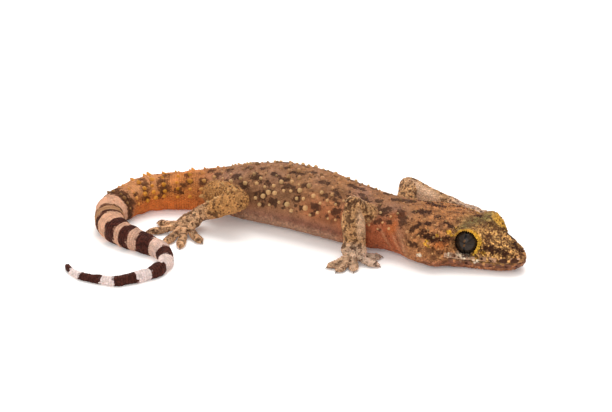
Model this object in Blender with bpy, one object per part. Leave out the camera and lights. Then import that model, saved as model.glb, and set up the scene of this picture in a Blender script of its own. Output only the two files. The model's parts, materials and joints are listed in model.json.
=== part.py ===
"""A Mediterranean house gecko at life size, lying on its chin and belly with the tail swung round in an S.

The animal faces +X, its right side is towards -Y and the floor is z = 0. Sizes are in millimetres and are
turned to metres where a mesh is made. The trunk is one loft along a curved route, parted into head, neck,
torso and lengths of tail. Limbs are tapered tubes, each cut clear of what it grows from.
"""

import math

import bmesh
import bpy
import numpy as np

MM = 0.001
GAP = 0.3

# The trunk's route in plan from snout to tail tip, and the point on the floor that becomes the origin.
ORIGIN = (0.4, 2.4)
TRUNK_ROUTE = (
    (31.7, -11.65), (26.0, -7.4), (21.7, -5.0), (17.0, -3.9), (11.2, -1.9), (6.6, 1.0), (2.3, 4.0),
    (-1.6, 6.0), (-6.6, 7.6), (-11.8, 9.8), (-17.0, 10.2), (-21.4, 9.7), (-24.6, 7.2), (-26.6, 3.9),
    (-26.4, 0.3), (-24.5, -2.5), (-21.4, -4.8), (-18.9, -6.8), (-18.0, -9.4), (-18.7, -11.9),
    (-20.7, -13.8), (-24.5, -15.4), (-27.6, -14.5), (-29.75, -13.4), (-31.2, -11.6), (-32.2, -8.9),
)

TAIL_END = 103.2
# Along the route from the snout: distance, half width, keel, widest line and crown heights.
TRUNK_SECTIONS = (
    (0.0, 0.15, 1.55, 1.7, 1.9), (0.15, 0.7, 1.2, 1.8, 2.45), (0.5, 1.2, 0.85, 1.9, 2.85),
    (1.3, 1.85, 0.4, 1.9, 3.25), (2.6, 2.6, 0.0, 1.95, 3.7), (4.5, 3.45, -0.15, 2.0, 4.3),
    (6.3, 4.15, -0.2, 2.1, 5.0), (8.0, 4.6, -0.2, 2.2, 5.6), (10.0, 5.1, -0.2, 2.3, 6.1),
    (12.0, 5.5, -0.2, 2.4, 6.4), (13.8, 5.3, -0.15, 2.5, 6.6), (15.8, 4.6, -0.2, 2.6, 6.8),
    (18.0, 4.0, -0.1, 3.0, 7.0), (20.5, 4.15, 0.1, 3.3, 7.2), (23.5, 4.5, 0.0, 3.5, 7.5),
    (28.0, 4.9, -0.2, 3.7, 7.8), (33.0, 5.4, -0.2, 3.8, 8.1), (38.0, 5.4, -0.2, 3.8, 8.1),
    (42.0, 4.8, -0.1, 3.6, 7.7), (46.0, 3.9, 0.1, 3.3, 6.8), (49.5, 3.0, 0.1, 2.9, 5.9),
    (53.0, 2.7, -0.1, 2.6, 5.3), (58.0, 2.5, -0.1, 2.4, 4.9), (63.0, 2.3, -0.1, 2.2, 4.5),
    (68.0, 2.1, -0.1, 2.0, 4.0), (73.0, 1.75, -0.1, 1.65, 3.4), (77.5, 1.4, -0.1, 1.3, 2.7),
    (82.0, 1.1, -0.08, 1.05, 2.2), (86.0, 0.9, -0.06, 0.85, 1.8), (90.0, 0.74, -0.05, 0.72, 1.46),
    (94.0, 0.6, -0.04, 0.6, 1.22), (98.0, 0.49, -0.03, 0.48, 0.98), (101.0, 0.4, -0.02, 0.38, 0.78),
    (102.6, 0.32, 0.0, 0.33, 0.64), (TAIL_END, 0.18, 0.1, 0.3, 0.48),
)
# The jowl and neck bulge on the side that the head is turned to: distance and extra half width.
RIGHT_JOWL = (
    (0.0, 0.0), (5.0, 0.0), (8.0, 0.5), (11.0, 1.3), (14.0, 1.8), (16.5, 1.4), (18.5, 0.5), (20.5, 0.0),
)
# How square the sections are above and below the widest line, where 2 is an ellipse.
SQUARENESS = (
    (0.0, 2.6, 2.6), (5.0, 2.3, 3.0), (13.0, 2.3, 3.1), (17.0, 2.2, 3.0), (20.0, 2.2, 2.6),
    (TAIL_END, 2.1, 2.5),
)

# Each trunk node: where it starts and ends behind the snout, the spacing and count of its rings' points.
TRUNK_NODES = {
    "neck": (15.4, 19.6, 1.0, 24),
    "torso": (19.6, 49.6, 1.2, 24),
    "tail_base": (49.6, 60.6, 1.2, 18),
    "tail_bend": (60.6, 70.6, 1.0, 16),
    "tail_middle": (70.6, 79.8, 0.95, 14),
    "tail_curl": (79.8, 89.5, 0.9, 12),
    "tail_tip": (89.5, TAIL_END, 1.0, 10),
}
HEAD_END = 15.4
HEAD_RINGS = (
    (0.0, 0.5, 3), (0.5, 2.4, 4), (2.4, 4.8, 4), (4.8, 10.4, 10), (10.4, HEAD_END, 5),
)

# The mouth is a groove between two lips, from the snout to just behind the eye.
MOUTH_HEIGHT = ((0.0, 1.62), (3.0, 1.6), (7.0, 1.7), (11.0, 2.2), (15.0, 2.6))
MOUTH_END = 10.8
MOUTH_FADE = 1.2
MOUTH_DEPTH = 0.28
MOUTH_CENTRE = 2.4
LIP_SPACING = 0.17
LIP_START = 0.1
LIP_SWELL = 0.06
POINTS_BELOW_LIPS, POINTS_ABOVE_LIPS = 3, 7

# A round brow stands out on each side of the skull, which points this far to the right of +X, and
# holds the eyeball in a socket.
SKULL_TURN = 38.5
BROW_ARC, BROW_SIDE, BROW_HEIGHT, BROW_RADIUS = 7.5, 2.5, 3.7, 2.35
BROW_BLEND = 9
EYE_RADIUS = 1.72
EYE_OUT = 0.5
EYE_FORWARD, EYE_SIDEWAYS, EYE_UP = 0.3, 0.92, 0.22
# The raised rim round each eye: how far out it lies, its radius and the radius of its own section.
RIM_OUT, RIM_RADIUS, RIM_THICKNESS = 1.6, 1.86, 0.22
RIM_COUNT, RIM_SIDES = 20, 6

NOSTRIL_ARC, NOSTRIL_HEIGHT, NOSTRIL_RADIUS = 1.15, 2.5, 0.25
EAR_ARC, EAR_HEIGHT, EAR_HALF_SIZE = 12.6, 3.5, (0.4, 0.55, 0.75)

SOCKET_SEGMENTS, NOSTRIL_SEGMENTS, EAR_SEGMENTS, EYE_SEGMENTS = 20, 8, 10, 18

# Limb stations: x, y, z, half width, half thickness. A segment starts inside what it grows from.
LIMBS = {
    "right": {
        "upper_arm": ((11.6, -3.0, 4.4, 1.35, 1.5), (9.9, -5.2, 6.2, 1.3, 1.4),
                      (8.1, -6.5, 8.1, 1.2, 1.25)),
        "forearm": ((8.1, -6.6, 8.0, 1.2, 1.25), (8.1, -6.9, 5.2, 1.65, 1.4),
                    (8.35, -6.9, 2.5, 1.55, 1.2)),
        "hand": ((8.3, -6.9, 2.4, 1.4, 1.05), (8.2, -7.7, 1.75, 1.8, 1.0), (8.2, -8.5, 1.3, 1.65, 0.7)),
        "fingers": ((4.6, -10.5), (5.8, -11.8), (8.1, -11.6), (11.5, -10.1), (11.9, -7.3)),
        "thigh": ((-11.6, 7.0, 3.5, 1.8, 1.9), (-9.6, 3.4, 4.7, 1.75, 1.8), (-7.9, 0.4, 5.4, 1.4, 1.45)),
        "shank": ((-7.9, 0.4, 5.4, 1.35, 1.4), (-10.6, 1.5, 4.0, 1.45, 1.45),
                  (-14.0, 2.9, 2.1, 1.2, 1.05)),
        "foot": ((-14.0, 2.9, 2.0, 1.15, 0.95), (-14.9, 2.1, 1.6, 1.75, 0.95),
                 (-15.8, 1.2, 1.25, 1.75, 0.7)),
        "toes": ((-13.4, -2.5), (-16.3, -4.1), (-18.7, -3.1), (-21.2, 0.7), (-19.8, 3.7)),
    },
    "left": {
        "upper_arm": ((15.0, 0.4, 3.8, 1.3, 1.4), (15.9, 3.6, 4.5, 1.25, 1.3),
                      (16.2, 6.3, 5.1, 1.25, 1.3)),
        "forearm": ((16.3, 6.3, 5.1, 1.3, 1.35), (19.8, 6.3, 3.1, 1.35, 1.3),
                    (23.6, 6.0, 1.75, 1.15, 1.05)),
        "hand": ((23.6, 6.0, 1.7, 1.05, 0.95), (24.8, 5.8, 1.3, 1.45, 0.85), (26.1, 5.3, 1.15, 1.5, 0.7)),
        "fingers": ((23.8, 2.2), (26.2, 1.2), (28.8, 2.3), (29.6, 4.9), (27.7, 7.3)),
        "thigh": ((-9.6, 9.6, 3.5, 1.8, 1.9), (-7.7, 12.2, 3.8, 1.7, 1.7), (-6.0, 14.0, 4.0, 1.35, 1.35)),
        "shank": ((-6.0, 14.0, 4.0, 1.3, 1.35), (-8.9, 14.6, 2.9, 1.4, 1.4),
                  (-12.1, 15.2, 1.9, 1.15, 1.05)),
        "foot": ((-12.1, 15.2, 1.8, 1.1, 0.95), (-13.0, 15.4, 1.45, 1.65, 0.95),
                 (-14.1, 15.7, 1.2, 1.65, 0.7)),
        "toes": ((-11.4, 19.3), (-13.9, 20.6), (-16.6, 20.0), (-19.2, 17.3), (-18.0, 14.0)),
    },
}
LIMB_SIDES = 10
LIMB_STEPS = 3

# A toe from its root in the palm to the claw: share of its length, half width, half thickness, height.
TOE_STATIONS = (
    (0.0, 0.55, 0.5, 1.25), (0.25, 0.52, 0.5, 1.0), (0.5, 0.55, 0.46, 0.66), (0.68, 0.66, 0.43, 0.44),
    (0.84, 0.68, 0.42, 0.4), (0.94, 0.52, 0.37, 0.38), (1.0, 0.3, 0.27, 0.3), (1.04, 0.12, 0.12, 0.16),
)
TOE_SIDES = 6
# A round end of a limb: how far past its last ring and how much smaller, as shares of its half size.
ROUND_END = ((0.7, 0.71), (0.95, 0.3))

# Tubercles stand in rows along the back and in rings on the tail.
TUBERCLE_RADIUS, TUBERCLE_HEIGHT, TUBERCLE_ROOT = 0.33, 0.36, 0.25
TUBERCLE_SIDES = 5
TUBERCLE_TIP, TUBERCLE_LEAN = 0.4, 0.4
TUBERCLE_JITTER, TUBERCLE_TURN = 0.3, 1.8
TUBERCLE_SIZES = (0.85, 1.2)
TUBERCLE_MARGIN = 0.9
BACK_ROWS = (-66.0, -44.0, -25.0, -8.0, 8.0, 25.0, 44.0, 66.0)
BACK_SPACING = 2.4
BACK_REACH = (21.0, 48.6)
TAIL_ROWS = (-58.0, -20.0, 20.0, 58.0)
TAIL_SPACING = 2.1
TAIL_REACH = (50.6, 70.0)
LIMB_ROOM = 0.8
# The clearance cut from the limbs where they leave the trunk: start, end, ring spacing and count of points.
TRUNK_CLEARANCE = (HEAD_END, 70.0, 1.1, 26)
# The route's direction is read this far to each side of a point.
ROUTE_REACH = 0.6
COLOURS = {
    "eye": (0.02, 0.014, 0.01), "head": (0.42, 0.27, 0.14), "body": (0.46, 0.3, 0.18),
    "limb": (0.42, 0.27, 0.15),
    "foot": (0.36, 0.26, 0.2), "tail_base": (0.5, 0.2, 0.06), "tail": (0.3, 0.2, 0.16),
}
HIDE_ROUGHNESS, EYE_ROUGHNESS = 0.6, 0.1


def smooth_columns(table, at):
    """Monotone cubics through a table's columns, read at positions along its first column."""
    rows = np.array(table, float)
    x, y = rows[:, 0], rows[:, 1:]
    at = np.clip(np.atleast_1d(at).astype(float), x[0], x[-1])
    step = np.diff(x)[:, None]
    slope = np.diff(y, axis=0) / step
    before, after = slope[:-1], slope[1:]
    same_way = before * after > 0
    total = np.where(same_way, before + after, 1.0)
    inner = np.where(same_way, 2 * before * after / total, 0.0)
    tangent = np.vstack([slope[:1], inner, slope[-1:]])
    i = np.clip(np.searchsorted(x, at, side="right") - 1, 0, len(x) - 2)
    h = step[i]
    t = (at - x[i])[:, None] / h
    value = (2 * t**3 - 3 * t**2 + 1) * y[i] + (3 * t**2 - 2 * t**3) * y[i + 1]
    return value + h * ((t**3 - 2 * t**2 + t) * tangent[i] + (t**3 - t**2) * tangent[i + 1])


def smooth_path(points, steps):
    """A Catmull-Rom curve through points, with the same number of steps in each span."""
    points = np.array(points, float)
    ends = np.vstack([2 * points[0] - points[1], points, 2 * points[-1] - points[-2]])
    path = []
    for a, b, c, d in zip(ends, ends[1:], ends[2:], ends[3:]):
        for t in np.arange(steps) / steps:
            bend = (2 * a - 5 * b + 4 * c - d) * t**2 + (3 * b - a - 3 * c + d) * t**3
            path.append(b + 0.5 * ((c - a) * t + bend))
    return np.array(path + [points[-1]])


ROUTE_PATH = smooth_path(TRUNK_ROUTE, 24) - np.array(ORIGIN)
ROUTE_ARC = np.concatenate([[0.0], np.cumsum(np.linalg.norm(np.diff(ROUTE_PATH, axis=0), axis=1))])


def route_at(arc):
    """The route's point and the direction to the animal's left, at a distance behind the snout."""
    point = [np.interp(arc, ROUTE_ARC, ROUTE_PATH[:, k]) for k in (0, 1)]
    back, ahead = max(arc - ROUTE_REACH, 0.0), min(arc + ROUTE_REACH, ROUTE_ARC[-1])
    run = [np.interp(ahead, ROUTE_ARC, ROUTE_PATH[:, k]) - np.interp(back, ROUTE_ARC, ROUTE_PATH[:, k])
           for k in (0, 1)]
    length = math.hypot(*run)
    return np.array(point), np.array([run[1], -run[0]]) / length


def place(arc, side, height):
    """A point given by distance behind the snout, distance to the left and height."""
    point, left = route_at(arc)
    return np.array([*(point + left * side), height])


def section_point(arc, angle, swell=0.0):
    """Sideways place and height of the trunk's skin at an angle above its widest line, in radians."""
    half, keel, widest, crown = smooth_columns(TRUNK_SECTIONS, arc)[0]
    back, belly = smooth_columns(SQUARENESS, arc)[0]
    squareness = back if math.sin(angle) > 0 else belly
    rise = crown - widest if math.sin(angle) > 0 else widest - keel
    cos, sin = math.cos(angle), math.sin(angle)
    if cos < 0:
        half += smooth_columns(RIGHT_JOWL, arc)[0][0]
    side = math.copysign(abs(cos) ** (2 / squareness), cos) * (half + swell)
    height = widest + math.copysign(abs(sin) ** (2 / squareness), sin) * (rise + swell)
    return side, height


def angle_at_height(arc, height):
    """The section angle at which the trunk's skin reaches a height."""
    half, keel, widest, crown = smooth_columns(TRUNK_SECTIONS, arc)[0]
    back, belly = smooth_columns(SQUARENESS, arc)[0]
    if height > widest:
        return math.asin(min((height - widest) / (crown - widest), 1.0) ** (back / 2))
    return -math.asin(min((widest - height) / (widest - keel), 1.0) ** (belly / 2))


def trunk_skin(arc, angle, swell=0.0):
    """A point of the trunk's skin, with whatever would sink below the floor laid flat on it."""
    side, height = section_point(arc, angle, swell)
    return place(arc, side, height if swell else max(height, 0.0))


def new_object(name, bm, collection):
    """Puts a bmesh drawn in millimetres into the scene, in metres and facing out."""
    bmesh.ops.scale(bm, vec=(MM, MM, MM), verts=bm.verts)
    bmesh.ops.recalc_face_normals(bm, faces=bm.faces)
    bmesh.ops.triangulate(bm, faces=bm.faces)
    mesh = bpy.data.meshes.new(name)
    bm.to_mesh(mesh)
    bm.free()
    obj = bpy.data.objects.new(name, mesh)
    collection.objects.link(obj)
    return obj


def loft(rings):
    """A closed skin through rings of equal count, with a flat end at each side."""
    bm = bmesh.new()
    rows = [[bm.verts.new(point) for point in ring] for ring in rings]
    for row, following in zip(rows, rows[1:]):
        for i in range(len(row)):
            j = (i + 1) % len(row)
            bm.faces.new((row[i], row[j], following[j], following[i]))
    bm.faces.new(rows[0])
    bm.faces.new(rows[-1])
    return bm


def tube(stations, sides, steps, facing, swell=0.0, round_ends=True):
    """A tube through stations of x, y, z, half width and half thickness."""
    path = smooth_path(stations, steps)
    centres, halves = path[:, :3] - np.array([*ORIGIN, 0.0]), path[:, 3:] + swell
    rings = []
    for i, (centre, half) in enumerate(zip(centres, halves)):
        run = centres[min(i + 1, len(centres) - 1)] - centres[max(i - 1, 0)]
        run /= np.linalg.norm(run)
        across = np.cross(run, facing)
        across /= np.linalg.norm(across)
        other = np.cross(across, run)
        ends = [(0.0, 1.0)]
        if i == 0 and round_ends:
            ends = [(-along, share) for along, share in ROUND_END[::-1]] + ends
        if i == len(centres) - 1 and round_ends:
            ends += ROUND_END
        for along, share in ends:
            ring = []
            for angle in 2 * np.pi * np.arange(sides) / sides:
                spread = across * math.cos(angle) * half[0] + other * math.sin(angle) * half[1]
                point = centre + run * along * half.min() + spread * share
                ring.append((point[0], point[1], point[2] if swell else max(point[2], 0.0)))
            rings.append(ring)
    return loft(rings)


def boolean(obj, operation, other, solver="EXACT"):
    """Joins or cuts, applied at once, keeping the largest closed surface."""
    modifier = obj.modifiers.new(operation.title(), "BOOLEAN")
    modifier.operation = operation
    modifier.solver = solver
    if isinstance(other, bpy.types.Collection):
        modifier.operand_type = "COLLECTION"
        modifier.collection = other
    else:
        modifier.object = other
    bpy.context.view_layer.update()
    shaped = bpy.data.meshes.new_from_object(obj.evaluated_get(bpy.context.evaluated_depsgraph_get()))
    obj.modifiers.clear()
    obj.data = shaped
    keep_largest(obj)


def keep_largest(obj):
    """Leaves only the largest connected surface of a mesh."""
    bm = bmesh.new()
    bm.from_mesh(obj.data)
    unseen = set(bm.verts)
    islands = []
    while unseen:
        island = set()
        edge_of_search = [unseen.pop()]
        while edge_of_search:
            vert = edge_of_search.pop()
            island.add(vert)
            near = {edge.other_vert(vert) for edge in vert.link_edges} & unseen
            unseen -= near
            edge_of_search.extend(near)
        islands.append(island)
    largest = max(islands, key=len)
    bmesh.ops.delete(bm, geom=[vert for vert in bm.verts if vert not in largest], context="VERTS")
    bmesh.ops.triangulate(bm, faces=bm.faces)
    bm.to_mesh(obj.data)
    bm.free()


def cutter_ball(name, centre, half_sizes, turn, segments):
    """An ellipsoid cutter, turned about the vertical."""
    bm = bmesh.new()
    bmesh.ops.create_uvsphere(bm, u_segments=segments, v_segments=segments // 2, radius=1.0)
    bmesh.ops.scale(bm, vec=half_sizes, verts=bm.verts)
    cos, sin = math.cos(turn), math.sin(turn)
    for vert in bm.verts:
        x, y, z = vert.co
        vert.co = (centre[0] + x * cos - y * sin, centre[1] + x * sin + y * cos, centre[2] + z)
    return new_object(name, bm, CUTTERS)


def paint(obj, colour, roughness=HIDE_ROUGHNESS):
    """One finish for each node."""
    material = bpy.data.materials.new(obj.name)
    material.use_nodes = True
    shader = material.node_tree.nodes["Principled BSDF"]
    shader.inputs["Base Color"].default_value = (*COLOURS[colour], 1.0)
    shader.inputs["Roughness"].default_value = roughness
    obj.data.materials.clear()
    obj.data.materials.append(material)
    obj.data.shade_smooth()
    obj.data.set_sharp_from_angle(angle=math.radians(40))


def mouth_depth(arc):
    """How far the mouth's groove is pressed in at a distance behind the snout."""
    return MOUTH_DEPTH * min(max((MOUTH_END - arc) / MOUTH_FADE, 0.0), 1.0)


def head_ring(arc):
    """A head section whose points follow the lips and the mouth between them."""
    middle = smooth_columns(MOUTH_HEIGHT, arc)[0][0]
    spacing = LIP_SPACING * min(1.0, LIP_START + arc)
    lips = [angle_at_height(arc, middle + k * spacing) for k in (-2, -1, 0, 1, 2)]
    below = np.linspace(-math.pi / 2, lips[0], POINTS_BELOW_LIPS + 2)[1:-1]
    above = np.linspace(lips[-1], math.pi / 2, POINTS_ABOVE_LIPS + 2)[1:-1]
    swell, line = -LIP_SWELL, mouth_depth(arc)
    press = {lips[0]: swell, lips[1]: 0.0, lips[2]: line, lips[3]: 0.0, lips[4]: swell}
    half_ring = [*below, *lips, *above]
    inside = place(max(arc, MOUTH_CENTRE), 0.0, middle)
    ring = [trunk_skin(arc, -math.pi / 2)]
    for side, angles in ((1, half_ring), (-1, half_ring[::-1])):
        if side == -1:
            ring.append(trunk_skin(arc, math.pi / 2))
        for angle in angles:
            point = trunk_skin(arc, angle if side == 1 else math.pi - angle)
            inward = inside - point
            inward[2] = 0.0
            depth = press.get(angle, 0.0) * (1.0 if mouth_depth(arc) else 0.0)
            ring.append(point + inward / np.linalg.norm(inward) * depth)
    return [raise_brows(point) for point in ring]


def raise_brows(point):
    """Pushes a point of the head out of the two round brows."""
    for side in (-1, 1):
        centre = brow_centre(side)
        away = point - centre
        distance = np.linalg.norm(away)
        pushed = (distance**BROW_BLEND + BROW_RADIUS**BROW_BLEND) ** (1 / BROW_BLEND)
        point = centre + away / distance * pushed
    return point


def skull_axes():
    """The skull's forward and left directions on the floor."""
    turn = math.radians(-SKULL_TURN)
    return np.array([math.cos(turn), math.sin(turn), 0.0]), np.array([-math.sin(turn), math.cos(turn), 0.0])


def brow_centre(side):
    """The centre of the round brow on the left, 1, or the right, -1."""
    return place(BROW_ARC, 0.0, BROW_HEIGHT) + skull_axes()[1] * side * BROW_SIDE


def eye_facing(side):
    """The way that the eye looks: sideways, a little forward and up."""
    forward, left = skull_axes()
    facing = forward * EYE_FORWARD + left * side * EYE_SIDEWAYS + np.array([0.0, 0.0, EYE_UP])
    return facing / np.linalg.norm(facing)


def eye_centre(side):
    """The eyeball's centre, out from the brow's along the way that the eye looks."""
    return brow_centre(side) + eye_facing(side) * EYE_OUT


def eye_rim(name, side):
    """A ring that lies on the brow around the eye."""
    facing = eye_facing(side)
    aside = np.cross((0.0, 0.0, 1.0), facing)
    aside /= np.linalg.norm(aside)
    upward = np.cross(facing, aside)
    bm = bmesh.new()
    rows = []
    for turn in 2 * np.pi * np.arange(RIM_COUNT) / RIM_COUNT:
        out = aside * math.cos(turn) + upward * math.sin(turn)
        middle = brow_centre(side) + facing * RIM_OUT + out * RIM_RADIUS
        rows.append([
            bm.verts.new(middle + (out * math.cos(roll) + facing * math.sin(roll)) * RIM_THICKNESS)
            for roll in 2 * np.pi * np.arange(RIM_SIDES) / RIM_SIDES
        ])
    for row, following in zip(rows, rows[1:] + rows[:1]):
        for i in range(RIM_SIDES):
            j = (i + 1) % RIM_SIDES
            bm.faces.new((row[i], row[j], following[j], following[i]))
    return new_object(name, bm, CUTTERS)


def skin_side(arc, height):
    """Distance from the midline to the skin at a height."""
    return section_point(arc, angle_at_height(arc, height))[0]


def make_head():
    """The head: lips, mouth, brows, and cuts for the eyes, nostrils and ears."""
    arcs = np.concatenate([np.linspace(*span, endpoint=False) for span in HEAD_RINGS]).tolist()
    arcs.append(HEAD_END - GAP / 2)
    head = new_object("head", loft([head_ring(arc) for arc in arcs]), PARTS)
    for side, name in ((-1, "right"), (1, "left")):
        socket = EYE_RADIUS + GAP
        nostril = place(NOSTRIL_ARC, side * skin_side(NOSTRIL_ARC, NOSTRIL_HEIGHT), NOSTRIL_HEIGHT)
        ear = place(EAR_ARC, side * skin_side(EAR_ARC, EAR_HEIGHT), EAR_HEIGHT)
        left = route_at(EAR_ARC)[1]
        turn = math.atan2(left[1], left[0]) - math.pi / 2
        boolean(head, "UNION", eye_rim(f"rim_{name}", side))
        cuts = (
            cutter_ball(f"socket_{name}", eye_centre(side), (socket,) * 3, 0.0, SOCKET_SEGMENTS),
            cutter_ball(f"nostril_{name}", nostril, (NOSTRIL_RADIUS,) * 3, 0.0, NOSTRIL_SEGMENTS),
            cutter_ball(f"ear_{name}", ear, EAR_HALF_SIZE, turn, EAR_SEGMENTS),
        )
        for cut in cuts:
            boolean(head, "DIFFERENCE", cut)
        ball = cutter_ball(f"eye_{name}", eye_centre(side), (EYE_RADIUS,) * 3, 0.0, EYE_SEGMENTS)
        CUTTERS.objects.unlink(ball)
        PARTS.objects.link(ball)
        paint(ball, "eye", EYE_ROUGHNESS)
    paint(head, "head")


def trunk_rings(start, end, spacing, count, swell=0.0):
    """Rings of the trunk's skin between two distances behind the snout."""
    arcs = np.linspace(start, end, max(int(round((end - start) / spacing)), 2) + 1)
    angles = 2 * np.pi * (np.arange(count) + 0.5) / count - np.pi / 2
    return [[trunk_skin(arc, angle, swell) for angle in angles] for arc in arcs]


def limb_distance(point):
    """How far a point is from the nearest limb's own surface."""
    nearest = 1e9
    for limb in LIMBS.values():
        for segment in ("upper_arm", "forearm", "thigh", "shank"):
            path = smooth_path(limb[segment], LIMB_STEPS)
            away = np.linalg.norm(path[:, :3] - np.array([*ORIGIN, 0.0]) - point, axis=1) - path[:, 4]
            nearest = min(nearest, away.min())
    return nearest


def tubercle(name, arc, angle, size, collection):
    """A low blunt cone with its root sunk in the skin and its point leaning back."""
    foot = trunk_skin(arc, angle)
    along = trunk_skin(arc + 0.2, angle) - trunk_skin(arc - 0.2, angle)
    around = trunk_skin(arc, angle + 0.05) - trunk_skin(arc, angle - 0.05)
    along /= np.linalg.norm(along)
    outward = np.cross(around, along)
    outward /= np.linalg.norm(outward)
    if outward @ (foot - place(arc, 0.0, foot[2] * 0.5)) < 0:
        outward = -outward
    across = np.cross(outward, along)
    rings = []
    for radius, height in ((1.0, -TUBERCLE_ROOT), (TUBERCLE_TIP, TUBERCLE_HEIGHT)):
        centre = foot + (outward * height + along * max(height, 0.0) * TUBERCLE_LEAN) * size
        rings.append([
            centre + (along * math.cos(turn) + across * math.sin(turn)) * radius * TUBERCLE_RADIUS * size
            for turn in 2 * np.pi * np.arange(TUBERCLE_SIDES) / TUBERCLE_SIDES
        ])
    return new_object(name, loft(rings), collection)


def tubercle_places(rows, spacing, reach, draw):
    """Where tubercles stand: rows along the trunk, every other row half a step back."""
    places = []
    for k, row in enumerate(rows):
        for arc in np.arange(reach[0] + spacing * 0.5 * (k % 2), reach[1], spacing):
            shift, turn = draw.uniform(-1, 1, 2) * (TUBERCLE_JITTER, TUBERCLE_TURN)
            places.append((arc + shift, math.radians(90 + row + turn), draw.uniform(*TUBERCLE_SIZES)))
    return places


def make_trunk():
    """Neck, torso and the lengths of tail, with the tubercles that each carries."""
    draw = np.random.default_rng(7)
    places = tubercle_places(BACK_ROWS, BACK_SPACING, BACK_REACH, draw)
    places += tubercle_places(TAIL_ROWS, TAIL_SPACING, TAIL_REACH, draw)
    for name, (start, end, spacing, count) in TRUNK_NODES.items():
        last = end if name == "tail_tip" else end - GAP / 2
        node = new_object(name, loft(trunk_rings(start + GAP / 2, last, spacing, count)), PARTS)
        studs = bpy.data.collections.new(f"{name}_tubercles")
        CUTTERS.children.link(studs)
        for arc, angle, size in places:
            inside = start + TUBERCLE_MARGIN < arc < end - TUBERCLE_MARGIN
            if inside and limb_distance(trunk_skin(arc, angle)) > LIMB_ROOM:
                tubercle(f"tubercle_{len(studs.objects)}", arc, angle, size, studs)
        if studs.objects:
            boolean(node, "UNION", studs, "MANIFOLD")
        for stud in list(studs.objects):
            bpy.data.objects.remove(stud)
        bpy.data.collections.remove(studs)
        colour = "tail" if name.startswith("tail") else "body"
        paint(node, name if name in COLOURS else colour)


def toe_stations(root, tip):
    """A toe's stations from the end of the palm to its claw's point."""
    root, tip = np.array(root[:2]), np.array(tip)
    return [(*(root + (tip - root) * share), height, half, thick)
            for share, half, thick, height in TOE_STATIONS]


def make_limb(side, names, digits):
    """Upper segment, lower segment and the hand or foot, each cut clear of the one before."""
    limb = LIMBS[side]
    level = (0.0, 1.0, 0.0) if (side, names[0]) == ("right", "upper_arm") else (0.0, 0.0, 1.0)
    upper, lower, end = names
    before = [TRUNK_ROOM]
    for name in (upper, lower):
        segment = new_object(f"{name}_{side}", tube(limb[name], LIMB_SIDES, LIMB_STEPS, level), PARTS)
        for room in before:
            boolean(segment, "DIFFERENCE", room)
        before.append(new_object(
            f"{name}_{side}_room", tube(limb[name], LIMB_SIDES, LIMB_STEPS, level, GAP), CUTTERS))
        paint(segment, "limb")
    palm = limb[end]
    hand = new_object(f"{end}_{side}", tube(palm, LIMB_SIDES, LIMB_STEPS, (0.0, 0.0, 1.0)), PARTS)
    toes = bpy.data.collections.new(f"{end}_{side}_toes")
    CUTTERS.children.link(toes)
    for k, tip in enumerate(limb[digits]):
        toe = tube(toe_stations(palm[-1], tip), TOE_SIDES, 1, (0.0, 0.0, 1.0), round_ends=False)
        new_object(f"toe_{k}", toe, toes)
    boolean(hand, "UNION", toes)
    for toe in list(toes.objects):
        bpy.data.objects.remove(toe)
    bpy.data.collections.remove(toes)
    boolean(hand, "DIFFERENCE", before[-1])
    paint(hand, "foot")


for old in list(bpy.data.objects):
    bpy.data.objects.remove(old)
PARTS = bpy.data.collections.new("house_gecko")
CUTTERS = bpy.data.collections.new("cutters")
CUTTERS.hide_render = True
bpy.context.scene.collection.children.link(PARTS)
bpy.context.scene.collection.children.link(CUTTERS)

make_head()
make_trunk()
TRUNK_ROOM = new_object("trunk_room", loft(trunk_rings(*TRUNK_CLEARANCE, GAP)), CUTTERS)
for body_side in LIMBS:
    make_limb(body_side, ("upper_arm", "forearm", "hand"), "fingers")
    make_limb(body_side, ("thigh", "shank", "foot"), "toes")
for cutter in CUTTERS.objects:
    cutter.hide_render = True
    cutter.display_type = "WIRE"
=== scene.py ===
"""Looks of a life-size Mediterranean house gecko lying on its chin and belly.

One skin covers head, trunk, tail and limbs. Small scales, tubercles, lip plates, eyes, claws and toe plates
are set on it. Shapes are drawn in millimetres and turned to metres when a piece is finished. The animal faces
+X, its right side is towards -Y, and a place on the trunk is a distance behind the snout with an angle around
the body, 0 on the mid-back, positive to the animal's left and 180 on the belly.
"""

import json
import math

import bmesh
import bpy
import numpy as np
from mathutils import Matrix, Vector
from mathutils.bvhtree import BVHTree

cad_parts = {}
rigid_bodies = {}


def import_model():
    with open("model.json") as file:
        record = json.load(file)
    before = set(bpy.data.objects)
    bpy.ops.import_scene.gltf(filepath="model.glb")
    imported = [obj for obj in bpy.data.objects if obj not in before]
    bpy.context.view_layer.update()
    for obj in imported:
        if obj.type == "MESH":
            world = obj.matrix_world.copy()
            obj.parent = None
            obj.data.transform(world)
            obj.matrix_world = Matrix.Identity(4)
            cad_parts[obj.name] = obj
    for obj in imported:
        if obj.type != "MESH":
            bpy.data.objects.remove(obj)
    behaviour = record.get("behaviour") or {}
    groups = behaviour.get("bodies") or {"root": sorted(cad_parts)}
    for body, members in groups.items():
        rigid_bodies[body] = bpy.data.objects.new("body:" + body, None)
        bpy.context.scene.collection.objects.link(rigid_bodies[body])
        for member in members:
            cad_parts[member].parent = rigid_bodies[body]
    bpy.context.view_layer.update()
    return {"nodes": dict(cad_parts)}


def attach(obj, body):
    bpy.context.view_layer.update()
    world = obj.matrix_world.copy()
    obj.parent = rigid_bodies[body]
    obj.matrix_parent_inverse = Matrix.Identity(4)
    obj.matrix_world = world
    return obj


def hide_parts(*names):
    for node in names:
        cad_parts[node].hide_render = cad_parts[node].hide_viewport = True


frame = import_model()

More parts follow.
